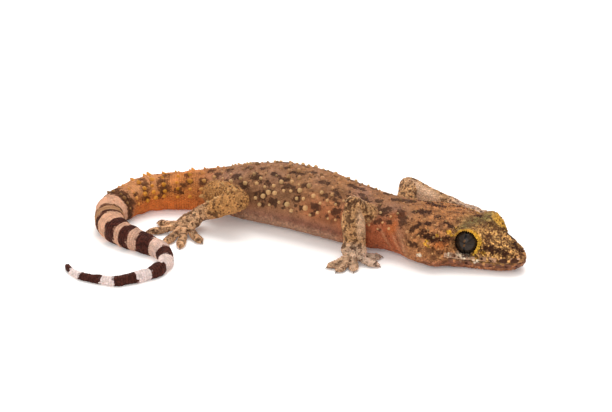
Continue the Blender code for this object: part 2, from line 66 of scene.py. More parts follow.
# The skin: one thin, soft hide without a seam from snout to tail tip and out to the toes. It is built as
# closed lofts along the trunk and limbs, melted into one mesh, eased where limbs meet the trunk, and then
# pressed and raised for the mouth, nostrils, ears, eye rims and folds.
MM = 0.001
ORIGIN = np.array([0.4, 2.4])
TAIL_END = 103.2
TRUNK_ROUTE = (
    (31.7, -11.65), (26.0, -7.4), (21.7, -5.0), (17.0, -3.9), (11.2, -1.9), (6.6, 1.0), (2.3, 4.0),
    (-1.6, 6.0), (-6.6, 7.6), (-11.8, 9.8), (-17.0, 10.2), (-21.4, 9.7), (-24.6, 7.2), (-26.6, 3.9),
    (-26.4, 0.3), (-24.5, -2.5), (-21.4, -4.8), (-18.9, -6.8), (-18.0, -9.4), (-18.7, -11.9),
    (-20.7, -13.8), (-24.5, -15.4), (-27.6, -14.5), (-29.75, -13.4), (-31.2, -11.6), (-32.2, -8.9),
)
# Distance behind the snout, half width, keel, widest line and crown heights.
TRUNK_SECTIONS = (
    (0.0, 0.15, 1.55, 1.7, 1.9), (0.15, 0.7, 1.2, 1.8, 2.45), (0.5, 1.2, 0.85, 1.9, 2.85),
    (1.3, 1.85, 0.4, 1.9, 3.25), (2.6, 2.6, 0.0, 1.95, 3.7), (4.5, 3.45, -0.15, 2.0, 4.3),
    (6.3, 4.15, -0.2, 2.1, 5.0), (8.0, 4.6, -0.2, 2.2, 5.6), (10.0, 5.1, -0.2, 2.3, 6.1),
    (12.0, 5.5, -0.2, 2.4, 6.4), (13.8, 5.3, -0.15, 2.5, 6.6), (15.8, 4.6, -0.2, 2.6, 6.8),
    (18.0, 4.0, -0.1, 3.0, 7.0), (20.5, 4.15, 0.1, 3.3, 7.2), (23.5, 4.5, 0.0, 3.5, 7.5),
    (28.0, 4.9, -0.2, 3.7, 7.8), (33.0, 5.4, -0.2, 3.8, 8.1), (38.0, 5.4, -0.2, 3.8, 8.1),
    (42.0, 4.8, -0.1, 3.6, 7.7), (46.0, 3.9, 0.1, 3.3, 6.8), (49.5, 3.0, 0.1, 2.9, 5.9),
    (53.0, 2.7, -0.1, 2.6, 5.3), (58.0, 2.5, -0.1, 2.4, 4.9), (63.0, 2.3, -0.1, 2.2, 4.5),
    (68.0, 2.1, -0.1, 2.0, 4.0), (73.0, 1.75, -0.1, 1.65, 3.4), (77.5, 1.4, -0.1, 1.3, 2.7),
    (82.0, 1.1, -0.08, 1.05, 2.2), (86.0, 0.9, -0.06, 0.85, 1.8), (90.0, 0.74, -0.05, 0.72, 1.46),
    (94.0, 0.6, -0.04, 0.6, 1.22), (98.0, 0.49, -0.03, 0.48, 0.98), (101.0, 0.4, -0.02, 0.38, 0.78),
    (102.6, 0.32, 0.0, 0.33, 0.64), (TAIL_END, 0.18, 0.1, 0.3, 0.48),
)
RIGHT_JOWL = (
    (0.0, 0.0), (5.0, 0.0), (8.0, 0.5), (11.0, 1.3), (14.0, 1.8), (16.5, 1.4), (18.5, 0.5), (20.5, 0.0),
)
SQUARENESS = (
    (0.0, 2.6, 2.6), (5.0, 2.3, 3.0), (13.0, 2.3, 3.1), (17.0, 2.2, 3.0), (20.0, 2.2, 2.6),
    (TAIL_END, 2.1, 2.5),
)
# Limb stations: x, y, z, half width, half thickness. Digits are named by where their claws touch down.
LIMBS = {
    "hand_right": (
        ((11.6, -3.0, 4.4, 1.35, 1.5), (9.9, -5.2, 6.2, 1.3, 1.4), (8.1, -6.5, 8.1, 1.2, 1.25)),
        ((8.1, -6.6, 8.0, 1.2, 1.25), (8.1, -6.9, 5.2, 1.65, 1.4), (8.35, -6.9, 2.5, 1.55, 1.2)),
        ((8.3, -6.9, 2.4, 1.4, 1.05), (8.2, -7.7, 1.75, 1.8, 1.0), (8.2, -8.5, 1.3, 1.65, 0.7)),
        ((4.6, -10.5), (5.8, -11.8), (8.1, -11.6), (11.5, -10.1), (11.9, -7.3)),
    ),
    "foot_right": (
        ((-11.6, 7.0, 3.5, 1.8, 1.9), (-9.6, 3.4, 4.7, 1.75, 1.8), (-7.9, 0.4, 5.4, 1.4, 1.45)),
        ((-7.9, 0.4, 5.4, 1.35, 1.4), (-10.6, 1.5, 4.0, 1.45, 1.45), (-14.0, 2.9, 2.1, 1.2, 1.05)),
        ((-14.0, 2.9, 2.0, 1.15, 0.95), (-14.9, 2.1, 1.6, 1.75, 0.95), (-15.8, 1.2, 1.25, 1.75, 0.7)),
        ((-13.4, -2.5), (-16.3, -4.1), (-18.7, -3.1), (-21.2, 0.7), (-19.8, 3.7)),
    ),
    "hand_left": (
        ((15.0, 0.4, 3.8, 1.3, 1.4), (15.9, 3.6, 4.5, 1.25, 1.3), (16.2, 6.3, 5.1, 1.25, 1.3)),
        ((16.3, 6.3, 5.1, 1.3, 1.35), (19.8, 6.3, 3.1, 1.35, 1.3), (23.6, 6.0, 1.75, 1.15, 1.05)),
        ((23.6, 6.0, 1.7, 1.05, 0.95), (24.8, 5.8, 1.3, 1.45, 0.85), (26.1, 5.3, 1.15, 1.5, 0.7)),
        ((23.8, 2.2), (26.2, 1.2), (28.8, 2.3), (29.6, 4.9), (27.7, 7.3)),
    ),
    "foot_left": (
        ((-9.6, 9.6, 3.5, 1.8, 1.9), (-7.7, 12.2, 3.8, 1.7, 1.7), (-6.0, 14.0, 4.0, 1.35, 1.35)),
        ((-6.0, 14.0, 4.0, 1.3, 1.35), (-8.9, 14.6, 2.9, 1.4, 1.4), (-12.1, 15.2, 1.9, 1.15, 1.05)),
        ((-12.1, 15.2, 1.8, 1.1, 0.95), (-13.0, 15.4, 1.45, 1.65, 0.95), (-14.1, 15.7, 1.2, 1.65, 0.7)),
        ((-11.4, 19.3), (-13.9, 20.6), (-16.6, 20.0), (-19.2, 17.3), (-18.0, 14.0)),
    ),
}
# A toe from the palm to its last joint: share of its length, half width, half thickness, height.
TOE_STATIONS = (
    (0.0, 0.55, 0.5, 1.25), (0.25, 0.52, 0.5, 1.0), (0.5, 0.55, 0.46, 0.66), (0.68, 0.66, 0.43, 0.44),
    (0.84, 0.68, 0.42, 0.4), (0.94, 0.52, 0.37, 0.38), (1.0, 0.3, 0.27, 0.3), (1.04, 0.12, 0.12, 0.16),
)
BROW_ARC, BROW_SIDE, BROW_HEIGHT, BROW_RADIUS, BROW_BLEND = 7.5, 2.5, 3.7, 2.35, 9
SKULL_TURN = math.radians(-38.5)
EYE_RADIUS, EYE_OUT = 1.72, 0.5
EYE_FACING = (0.3, 0.92, 0.22)
VOXEL, SKIN_TRIANGLES = 0.13, 240000
TRUNK_SIDES, LIMB_SIDES, TOE_SIDES, LIMB_STEPS, TOE_STEPS = 96, 24, 16, 12, 4
MELT_ROUNDS, CREASE_ROUNDS, CREASE_WIDTH, JOINT_WIDTH = 4, 70, 0.75, 1.7
UP, LEFT = (0.0, 0.0, 1.0), (0.0, 1.0, 0.0)


def table_at(table, at):
    """Monotone cubics through a table's columns, read at positions along its first column."""
    rows = np.array(table, float)
    x, y = rows[:, 0], rows[:, 1:]
    at = np.clip(np.atleast_1d(at).astype(float), x[0], x[-1])
    slope = np.diff(y, axis=0) / np.diff(x)[:, None]
    before, after = slope[:-1], slope[1:]
    total = np.where(before * after > 0, before + after, 1.0)
    inner = np.where(before * after > 0, 2 * before * after / total, 0.0)
    tangent = np.vstack([slope[:1], inner, slope[-1:]])
    i = np.clip(np.searchsorted(x, at, side="right") - 1, 0, len(x) - 2)
    h = np.diff(x)[i][:, None]
    t = (at - x[i])[:, None] / h
    value = (2 * t**3 - 3 * t**2 + 1) * y[i] + (3 * t**2 - 2 * t**3) * y[i + 1]
    return value + h * ((t**3 - 2 * t**2 + t) * tangent[i] + (t**3 - t**2) * tangent[i + 1])


def curve_through(points, steps):
    """A Catmull-Rom curve through points, with the same number of steps in each span."""
    points = np.array(points, float)
    ends = np.vstack([2 * points[0] - points[1], points, 2 * points[-1] - points[-2]])
    t = (np.arange(steps) / steps)[:, None]
    spans = [
        b + 0.5 * ((c - a) * t + (2 * a - 5 * b + 4 * c - d) * t**2 + (3 * b - a - 3 * c + d) * t**3)
        for a, b, c, d in zip(ends, ends[1:], ends[2:], ends[3:])
    ]
    return np.vstack([*spans, points[-1:]])


def run_of(path):
    """Distance along a path at each of its points."""
    return np.concatenate([[0.0], np.cumsum(np.linalg.norm(np.diff(path, axis=0), axis=1))])


def unit(vectors):
    """Vectors scaled to length one."""
    return vectors / np.maximum(np.linalg.norm(vectors, axis=-1, keepdims=True), 1e-9)


def ease(low, high, value):
    """A smooth step from 0 at low to 1 at high."""
    t = np.clip((np.asarray(value, float) - low) / (high - low), 0.0, 1.0)
    return t * t * (3 - 2 * t)


def between(start, full, last, end, value):
    """1 between two smooth steps, up from start to full and down from last to end."""
    return ease(start, full, value) * ease(end, last, value)


def hump(centre, width, value):
    """A smooth bell of height 1."""
    return np.exp(-(((np.asarray(value, float) - centre) / width) ** 2))


ROUTE = curve_through(TRUNK_ROUTE, 24) - ORIGIN
ROUTE_RUN = run_of(ROUTE)


def route_at(arc):
    """The route's points on the floor and the directions to the animal's left."""
    def point(at):
        return np.stack([np.interp(at, ROUTE_RUN, ROUTE[:, k]) for k in (0, 1)], -1)
    arc = np.atleast_1d(arc).astype(float)
    run = unit(point(np.minimum(arc + 0.6, ROUTE_RUN[-1])) - point(np.maximum(arc - 0.6, 0.0)))
    return point(arc), np.stack([run[:, 1], -run[:, 0]], -1)


def place(arc, side, height):
    """Points given by distance behind the snout, distance to the left and height."""
    point, left = route_at(arc)
    flat = point + left * np.reshape(side, (-1, 1))
    return np.column_stack([flat, np.broadcast_to(height, len(flat))])


def section_at(arc, right):
    """Half width, keel, widest line, crown and the two squarenesses, with the jowl where right is true."""
    half, keel, widest, crown = table_at(TRUNK_SECTIONS, arc).T
    back, belly = table_at(SQUARENESS, arc).T
    return half + np.where(right, table_at(RIGHT_JOWL, arc)[:, 0], 0.0), keel, widest, crown, back, belly


def raise_brows(points):
    """Pushes points of the head out of the two round brows."""
    for side in (-1, 1):
        away = points - brow_centre(side)
        distance = np.linalg.norm(away, axis=1, keepdims=True)
        pushed = (distance**BROW_BLEND + BROW_RADIUS**BROW_BLEND) ** (1 / BROW_BLEND)
        points = brow_centre(side) + away / distance * pushed
    return points


def skull_left():
    return np.array([-math.sin(SKULL_TURN), math.cos(SKULL_TURN), 0.0])


def skull_forward():
    return np.array([math.cos(SKULL_TURN), math.sin(SKULL_TURN), 0.0])


def brow_centre(side):
    """The centre of the round brow on the left, 1, or the right, -1."""
    return place(BROW_ARC, 0.0, BROW_HEIGHT)[0] + skull_left() * side * BROW_SIDE


def eye_facing(side):
    """The way that an eye looks: sideways, a little forward and up."""
    ahead, aside, up = EYE_FACING
    return unit(skull_forward() * ahead + skull_left() * side * aside + np.array([0.0, 0.0, up]))


def trunk_skin(arc, around):
    """Points of the trunk's skin for arrays of distance behind the snout and of angle around the body."""
    arc, around = np.broadcast_arrays(np.asarray(arc, float), np.asarray(around, float))
    shape, arc, angle = arc.shape, arc.ravel(), np.radians(around.ravel())
    half, keel, widest, crown, back, belly = section_at(arc, angle < 0)
    up, out = np.cos(angle), np.sin(angle)
    power = 2 / np.where(up > 0, back, belly)
    side = np.sign(out) * np.abs(out) ** power * half
    height = widest + np.sign(up) * np.abs(up) ** power * np.where(up > 0, crown - widest, widest - keel)
    points = raise_brows(place(arc, side, np.maximum(height, 0.0)))
    return points.reshape(*shape, 3)


def tube_rings(stations, sides, steps, facing, round_ends):
    """Rings of a tube through stations of x, y, z, half width and half thickness."""
    path = curve_through(stations, steps)
    centres, halves = path[:, :3], path[:, 3:]
    run = unit(centres[np.minimum(np.arange(len(centres)) + 1, len(centres) - 1)]
               - centres[np.maximum(np.arange(len(centres)) - 1, 0)])
    across = unit(np.cross(run, facing))
    other = np.cross(across, run)
    angle = 2 * np.pi * np.arange(sides) / sides
    ring = (across[:, None] * np.cos(angle)[:, None] * halves[:, None, :1]
            + other[:, None] * np.sin(angle)[:, None] * halves[:, None, 1:])
    rings = list(centres[:, None] + ring)
    if round_ends:
        for end, way in ((0, -1), (-1, 1)):
            turns = np.radians((25, 50, 75))
            reach = run[end] * way * halves[end].min()
            caps = [centres[end] + reach * math.sin(turn) + ring[end] * math.cos(turn) for turn in turns]
            rings = caps[::-1] + rings if end == 0 else rings + caps
    return np.array(rings)


def closed_loft(rings):
    """Vertices and faces of a closed skin through rings of equal count."""
    count, sides = rings.shape[:2]
    index = np.arange(count * sides).reshape(count, sides)
    turned = np.roll(index, -1, axis=1)
    quads = np.stack([index[:-1], turned[:-1], turned[1:], index[1:]], -1).reshape(-1, 4)
    faces = [*quads.tolist(), index[0][::-1].tolist(), index[-1].tolist()]
    return rings.reshape(-1, 3), faces


def mesh_object(name, points, faces):
    """A scene object from points and faces, in the units given."""
    mesh = bpy.data.meshes.new(name)
    mesh.from_pydata(np.asarray(points).tolist(), [], faces)
    obj = bpy.data.objects.new(name, mesh)
    bpy.context.scene.collection.objects.link(obj)
    return obj


def point_right_way(obj):
    """Recalculates a closed mesh's normals so that its faces point out."""
    bm = bmesh.new()
    bm.from_mesh(obj.data)
    bmesh.ops.recalc_face_normals(bm, faces=bm.faces)
    bm.to_mesh(obj.data)
    bm.free()


def joined(name, shells):
    """One object from closed shells, each given as points and faces."""
    points, faces = [], []
    for part_points, part_faces in shells:
        start = sum(len(part) for part in points)
        points.append(part_points)
        faces += [[start + k for k in face] for face in part_faces]
    made = mesh_object(name, np.vstack(points), faces)
    point_right_way(made)
    return made


def take_result(obj):
    """Replaces an object's mesh by what its modifiers make of it, and removes the modifiers."""
    graph = bpy.context.evaluated_depsgraph_get()
    made = bpy.data.meshes.new_from_object(obj.evaluated_get(graph))
    obj.modifiers.clear()
    obj.data = made


def read_points(mesh):
    points = np.empty(len(mesh.vertices) * 3)
    mesh.vertices.foreach_get("co", points)
    return points.reshape(-1, 3)


def write_points(mesh, points):
    mesh.vertices.foreach_set("co", np.asarray(points, np.float32).ravel())
    mesh.update()


def read_normals(mesh):
    normals = np.empty(len(mesh.vertices) * 3, np.float32)
    mesh.vertex_normals.foreach_get("vector", normals)
    return normals.reshape(-1, 3).astype(float)


def limb_parts():
    """Each limb's name with the stations of its upper, lower and end segments and of its five toes."""
    shift = np.array([*ORIGIN, 0.0, 0.0, 0.0])
    for name, (upper, lower, palm, tips) in LIMBS.items():
        root = np.array(palm[-1][:2]) - ORIGIN
        toes = [[(*(root + (np.array(tip) - ORIGIN - root) * share), height, half, thick)
                 for share, half, thick, height in TOE_STATIONS] for tip in tips]
        yield name, [np.array(part) - shift for part in (upper, lower, palm)], [np.array(toe) for toe in toes]


def skin_volumes():
    """Closed lofts of the trunk, the limbs and the toes, still passing through each other."""
    arcs = np.concatenate([[0.0, 0.07, 0.15, 0.25, 0.36], np.arange(0.5, TAIL_END, 0.22), [TAIL_END]])
    yield trunk_skin(arcs[:, None], np.linspace(-180, 180, TRUNK_SIDES + 1)[None, :-1])
    for name, (upper, lower, palm), toes in limb_parts():
        for segment in (upper, lower):
            yield tube_rings(segment, LIMB_SIDES, LIMB_STEPS, LEFT if name == "hand_right" else UP, True)
        yield tube_rings(palm, LIMB_SIDES, LIMB_STEPS, UP, True)
        for toe in toes:
            yield tube_rings(toe, TOE_SIDES, TOE_STEPS, UP, True)


skin = joined("skin", (closed_loft(rings) for rings in skin_volumes()))
melt = skin.modifiers.new("Melt", "REMESH")
melt.mode = "VOXEL"
melt.voxel_size = VOXEL
take_result(skin)


POINTS_AT_ONCE = 20000
FINE_STEP = 0.08


def nearest_on(path, points):
    """The index of the nearest of a path's points to each point, with the distance to it."""
    path, points = np.asarray(path, float), np.asarray(points, float)
    index, distance = np.empty(len(points), int), np.empty(len(points))
    for start in range(0, len(points), POINTS_AT_ONCE):
        part = points[start:start + POINTS_AT_ONCE]
        apart = (part**2).sum(1)[:, None] - 2 * part @ path.T + (path**2).sum(1)
        best = apart.argmin(1)
        index[start:start + len(part)] = best
        distance[start:start + len(part)] = np.sqrt(np.maximum(apart[np.arange(len(part)), best], 0.0))
    return index, distance


FINE_ROUTE_ARC = np.arange(0.0, TAIL_END, FINE_STEP)
FINE_ROUTE, FINE_ROUTE_LEFT = route_at(FINE_ROUTE_ARC)


def on_trunk(points):
    """Distance behind the snout, angle around the body and gap to the trunk's surface, for each point."""
    index, _ = nearest_on(FINE_ROUTE, points[:, :2])
    left = FINE_ROUTE_LEFT[index]
    back = np.stack([-left[:, 1], left[:, 0]], -1)
    offset = points[:, :2] - FINE_ROUTE[index]
    arc = np.clip(FINE_ROUTE_ARC[index] + (offset * back).sum(1), 0.0, TAIL_END)
    side = (offset * left).sum(1)
    half, keel, widest, crown, upper, lower = section_at(arc, side < 0)
    above = points[:, 2] > widest
    rise = np.where(above, crown - widest, widest - keel)
    u, v = side / half, (points[:, 2] - widest) / rise
    power = np.where(above, upper, lower)
    reach = (np.abs(u) ** power + np.abs(v) ** power) ** (1 / power)
    out, up = (np.sign(w) * np.abs(w) ** (power / 2) for w in (u, v))
    return arc, np.degrees(np.arctan2(out, up)), (reach - 1) * np.minimum(half, rise)


def limb_paths():
    """Centre lines of limbs and toes as one table: x, y, z, radius, run, limb, toe or 0 for the limb."""
    rows = []

    def keep(path, run, limb, toe):
        columns = path[:, :3], path[:, 3:].mean(1), run, np.full(len(run), limb), np.full(len(run), toe)
        rows.append(np.column_stack(columns))

    for limb, (_, segments, toes) in enumerate(limb_parts()):
        line = np.vstack([curve_through(segment, 14) for segment in segments])
        run = run_of(line[:, :3])
        keep(line, run, limb, 0)
        for k, toe in enumerate(toes):
            path = curve_through(toe, 6)
            keep(path, run[-1] + run_of(path[:, :3]), limb, k + 1)
    return np.vstack(rows)


LIMB_PATHS = limb_paths()


def on_limbs(points):
    """Index of the nearest limb station and the gap to that limb's surface, for each point."""
    path, best, gap = LIMB_PATHS, np.zeros(len(points), int), np.full(len(points), 1e9)
    for limb in range(len(LIMBS)):
        for toe in (False, True):
            rows = np.flatnonzero((path[:, 5] == limb) & ((path[:, 6] > 0) == toe))
            index, distance = nearest_on(path[rows, :3], points)
            here = distance - path[rows[index], 3]
            best, gap = np.where(here < gap, rows[index], best), np.minimum(here, gap)
    return best, gap


def edges_of(mesh):
    edges = np.empty(len(mesh.edges) * 2, np.int32)
    mesh.edges.foreach_get("vertices", edges)
    return edges.reshape(-1, 2)


def relax(points, edges, rounds, share, hold=0.0):
    """Moves points towards their neighbours' mean, then part of the way back, which keeps thin toes thick."""
    a, b = edges.T
    count = np.bincount(np.concatenate([a, b]), minlength=len(points))[:, None]
    for turn in range(rounds):
        for step in ((share, -share * hold) if hold else (share,)):
            total = np.stack([
                np.bincount(a, points[b, k], len(points)) + np.bincount(b, points[a, k], len(points))
                for k in range(3)], -1)
            points = points + (total / count - points) * step
    return points


edges = edges_of(skin.data)
points = relax(read_points(skin.data), edges, MELT_ROUNDS, 0.5, hold=1.04)
gaps = on_trunk(points)[2], on_limbs(points)[1]
crease = math.prod(hump(0, CREASE_WIDTH, np.maximum(gap, 0)) for gap in gaps)
for _, segments, _ in limb_parts():
    for segment in segments[:2]:
        joint_gap = np.linalg.norm(points - segment[-1, :3], axis=1)
        crease = np.maximum(crease, 0.8 * hump(0, JOINT_WIDTH, joint_gap))
points = relax(points, edges, CREASE_ROUNDS, (0.6 * crease)[:, None])

MOUTH_HEIGHT = ((0.0, 1.62), (3.0, 1.6), (7.0, 1.7), (11.0, 2.2), (15.0, 2.6))
MOUTH_END = 10.8
NOSTRIL = (1.15, 2.5)
EAR, EAR_SPREAD = (12.6, 3.5), (0.42, 0.42, 0.75)
NECK_FOLDS, FOLD_LEAN, FOLD_MIDDLE = (16.8, 18.0, 19.5), 0.042, 99
# Ridges and grooves: distance from a line or point, half width, and how far the skin moves out.
MOUTH_RIDGES = (
    (0, 0.085, -0.2), (0.3, 0.16, 0.05), (-0.3, 0.16, 0.04), (0.82, 0.08, -0.05), (-0.8, 0.08, -0.04),
)
NOSTRIL_RIDGES = ((0, 0.17, -0.34), (0.36, 0.13, 0.07))
EAR_RIDGES = ((0, 0.75, -0.5), (1.25, 0.3, 0.07))
# The same across the flank, by the angle around the body.
FLANK_FOLDS = ((104, 5, -0.14), (92, 4, -0.07))
FOLD_DEPTH, WAVE_HEIGHT, TAIL_RING_HEIGHT, TAIL_RING_PITCH = 0.24, 0.045, 0.05, 2.9
BROW_ROOM = 3.2
EYE_EDGE, EYE_SUNK = (1.74, 1.56), 0.16
LID_RING, LID_WIDTH, LID_HEIGHT = 1.84, 0.15, 0.17


def side_height_place(arc, height, side):
    """A point of the trunk's skin at a height, on the left, 1, or the right, -1."""
    arc = np.atleast_1d(arc).astype(float)
    half, keel, widest, crown, upper, lower = section_at(arc, np.full(len(arc), side < 0))
    height = np.broadcast_to(height, arc.shape)
    above = height > widest
    power = np.where(above, upper, lower)
    share = np.abs(height - widest) / np.where(above, crown - widest, widest - keel)
    out = np.maximum(1 - np.minimum(share, 1.0) ** power, 0.0) ** (1 / power) * half
    return raise_brows(place(arc, out * side, height))


def neck_folds(arc, around, side, shift):
    """The creases across one side of the neck, which lean back as they rise; the right's are deeper."""
    lean = arc + FOLD_LEAN * (np.abs(around) - FOLD_MIDDLE)
    lines = sum(hump(start + shift, 0.2, lean) for start in NECK_FOLDS)
    return lines * hump(92 * side, 26, around) * (1.0 if side < 0 else 0.5)


def ridges(table, distance):
    """How far ridges and grooves move the skin at distances from their line or point."""
    return sum(move * hump(middle, width, distance) for middle, width, move in table)


def from_ear(points, side):
    """Distance from an ear's middle, in widths and heights of its opening."""
    return np.linalg.norm((points - side_height_place(*EAR, side)[0]) / EAR_SPREAD, axis=1)


def from_eye(points, side):
    """Offsets from a brow's centre, with their length along the eye's axis and away from it."""
    away, facing = points - brow_centre(side), eye_facing(side)
    depth = away @ facing
    return away, depth, np.linalg.norm(away - depth[:, None] * facing, axis=1)


def press_head(points, normals):
    """Presses and raises the head's skin for the mouth, lips, nostrils, ears, eye rims and snout."""
    arc, around, gap = on_trunk(points)
    near_head = (arc < 21) & (gap < 1.5)
    level = unit(normals * (1, 1, 0.001))
    mouth = points[:, 2] - table_at(MOUTH_HEIGHT, arc)[:, 0]
    open_ = ease(MOUTH_END, MOUTH_END - 1.4, arc) * near_head * (np.abs(around) > 40)
    points = points + level * (ridges(MOUTH_RIDGES, mouth) * open_)[:, None]
    for side in (-1, 1):
        from_nostril = np.linalg.norm(points - side_height_place(*NOSTRIL, side)[0], axis=1)
        dent = ridges(NOSTRIL_RIDGES, from_nostril) + ridges(EAR_RIDGES, from_ear(points, side))
        dent -= FOLD_DEPTH * neck_folds(arc, around, side, 0.0) * near_head
        points = points + normals * dent[:, None]
        away, depth, ring = from_eye(points, side)
        by_eye = np.linalg.norm(away, axis=1) < BROW_ROOM
        ball = EYE_OUT + np.sqrt(np.maximum(EYE_RADIUS**2 - ring**2, 0.0)) - EYE_SUNK
        inside = ease(*EYE_EDGE, ring) * (depth > 0.9) * by_eye
        points = points + eye_facing(side) * ((ball - depth) * inside)[:, None]
        lid = LID_HEIGHT * hump(LID_RING, LID_WIDTH, ring) * (depth > 0.6) * by_eye
        points = points + unit(away) * lid[:, None]
    return points


def soft_waves(points):
    """Slow unevenness of soft flesh over muscle and ribs, a fraction of a millimetre."""
    x, y, z = points.T
    return (np.sin(x * 1.9 + 1.3 * np.sin(y * 0.8)) * np.sin(y * 1.7 + z * 1.1 + 0.6)
            + 0.6 * np.sin(x * 3.7 + z * 2.9) * np.sin(y * 3.3 - z * 1.7 + 1.9))


write_points(skin.data, points)
normals = read_normals(skin.data)
arc, around, gap = on_trunk(points)
flank_fold = ridges(FLANK_FOLDS, np.abs(around)) * between(18, 24, 44, 50, arc)
tail_rings = TAIL_RING_HEIGHT * between(50, 54, 90, 98, arc) * np.cos(arc * 2 * np.pi / TAIL_RING_PITCH)
moved = (flank_fold + tail_rings) * ease(0.5, 0.1, gap) + WAVE_HEIGHT * soft_waves(points)
points = points + normals * moved[:, None]
points = press_head(points, normals)
points[:, 2] = np.maximum(points[:, 2], 0.0)
write_points(skin.data, points)
thin_out = skin.modifiers.new("Thin out", "DECIMATE")
thin_out.ratio = min(SKIN_TRIANGLES / (2 * len(skin.data.polygons)), 1.0)
take_result(skin)
print("skin", len(skin.data.vertices), "vertices", len(skin.data.polygons), "faces")

# The markings, as smooth fields on the skin that the finish and every scale read. Dark marks are dots and
# short strokes: distance behind the snout, angle around the body on the right side, radius, and the first two
# again for a stroke's other end where it has one. The left side carries the same marks, a little shifted.
BODY_MARKS = (
    (41.8, -30, 0.75), (39.2, -20, 0.4, 38.2, -24), (39.5, -42, 0.5), (37.3, -31, 0.55, 36.4, -29),
    (43.6, -3, 0.6), (36.4, -10, 0.45, 34.6, -8), (32.8, -30, 0.6), (33.8, 3, 0.65),
    (30.8, -12, 0.6, 30.2, -13), (29.2, -39, 0.5),
    (27.7, -42, 0.5), (28.4, -24, 0.5, 27.6, -26), (36.0, -43, 0.5), (37.6, -76, 0.75), (40.5, -69, 0.85),
    (33.2, -63, 0.7), (30.0, -67, 0.65), (30.0, -82, 0.4), (26.8, -63, 0.75), (26.9, -48, 0.4),
    (27.2, 3, 0.6, 26.2, 2), (25.4, 3, 0.55), (24.8, 24, 0.55), (24.5, -12, 0.55),
    (23.8, -22, 0.6, 22.9, -30), (22.0, -15, 0.5),
    (21.5, -37, 0.7, 20.6, -42), (20.2, -30, 0.5), (19.8, -60, 0.5), (21.6, -64, 0.5), (20.0, 0, 0.6),
    (37.8, 0, 0.5), (44.6, -30, 0.6), (46.5, -8, 0.6), (41.2, -6, 0.5), (43.0, -52, 0.7), (38.6, -55, 0.5),
    (34.4, -45, 0.45), (45.8, -50, 0.7), (35.2, -76, 0.45), (32.0, -74, 0.4), (40.0, -86, 0.5),
)
HEAD_MARKS = (
    (19.6, 1, 0.7, 17.5, 8), (16.6, -19, 0.58, 14.8, -11), (18.5, -34, 0.75, 17.7, -50),
    (16.5, -57, 0.45, 15.75, -42), (13.75, -19, 0.52), (14.75, -36, 0.4), (11.75, -24, 0.3, 9.5, -33),
    (15.25, -57, 0.62, 13.5, -57), (16.5, -81, 0.42, 15.75, -81), (6.75, -96, 0.36), (8.0, -78, 0.33),
    (8.5, 18, 0.5), (15.25, 9, 0.5, 13.25, 4), (4.75, -54, 0.55, 2.25, -45), (2.25, 12, 0.5, 1.0, 6),
    (6.0, -81, 0.33, 6.75, -84), (1.25, -51, 0.2), (12.9, -59, 0.36, 9.9, -55),
)
# Weaker stains of the head.
HEAD_STAINS = (
    (12.75, -60, 0.6, 9.0, -54), (14.25, -81, 0.55), (11.0, -84, 0.52), (8.75, -87, 0.5),
    (12.0, -4, 0.4, 11.0, 0), (8.5, -3, 0.35), (5.5, -18, 0.65, 5.25, -21), (6.75, 3, 0.45, 6.25, 0),
    (17.25, -75, 0.4), (12.8, -90, 0.5), (10.0, -100, 0.45), (13.0, -36, 0.4), (10.6, -12, 0.4),
    (17.0, -2, 0.5), (12.4, -14, 0.4), (10.2, 6, 0.4),
)
# Smudges and small dots that fill the spaces between the marks of back and flanks.
scatter = np.random.default_rng(12)


def random_marks(count, arcs, angles, radii):
    """Dots drawn between limits of distance behind the snout, angle and radius."""
    return tuple((scatter.uniform(*arcs), -scatter.uniform(*angles), scatter.uniform(*radii))
                 for _ in range(count))


SMUDGES = random_marks(36, (22, 47), (14, 88), (0.5, 0.9))
DOTS = random_marks(28, (20, 47), (14, 84), (0.2, 0.34))
ORANGE_PATCHES = ((11.4, -68, 1.1, 10.4, -66), (19.4, -46, 1.0, 18.3, -36), (19.3, -74, 1.0, 18.9, -58))
# Golden and whitish scales round the eye and on the cheek: place and radius.
GOLD_SPOTS = (
    (13.75, -60, 0.23), (12.25, -51, 0.26), (14.5, -66, 0.26), (14.75, -72, 0.23), (10.25, -42, 0.36),
    (9.25, -33, 0.26), (14.25, -75, 0.23), (9.5, -48, 0.26), (4.75, -69, 0.33), (5.5, -87, 0.26),
)
WHITE_SPOTS = ((6.9, -84, 0.55), (5.6, -93, 0.45), (7.4, -90, 0.6), (15.5, -93, 0.35), (9.2, -88, 0.45))
TAIL_BASE_MARKS = (
    (47.6, -63, 0.6), (48.3, -26, 0.7), (50.4, -46, 0.75), (49.6, -4, 0.6), (52.6, -42, 0.5),
    (54.5, -66, 0.6), (53.6, -48, 0.55), (53.2, -12, 0.6), (56.9, -34, 0.7), (56.8, -60, 0.75),
    (57.4, -84, 0.4), (56.4, -4, 0.6), (60.2, -26, 0.75), (60.8, -80, 0.6), (60.4, -56, 0.5),
    (60.0, 2, 0.5), (64.2, -76, 0.6), (62.8, -50, 0.4),
)
# Where the dark bands of the tail start and end.
TAIL_BANDS = (
    (63.7, 65.9), (67.9, 68.7), (69.7, 70.3), (72.0, 73.6), (74.4, 75.8), (77.0, 79.4), (81.7, 84.0),
    (86.0, 88.4), (90.4, 93.6), (95.3, 98.7), (100.8, 103.0),
)


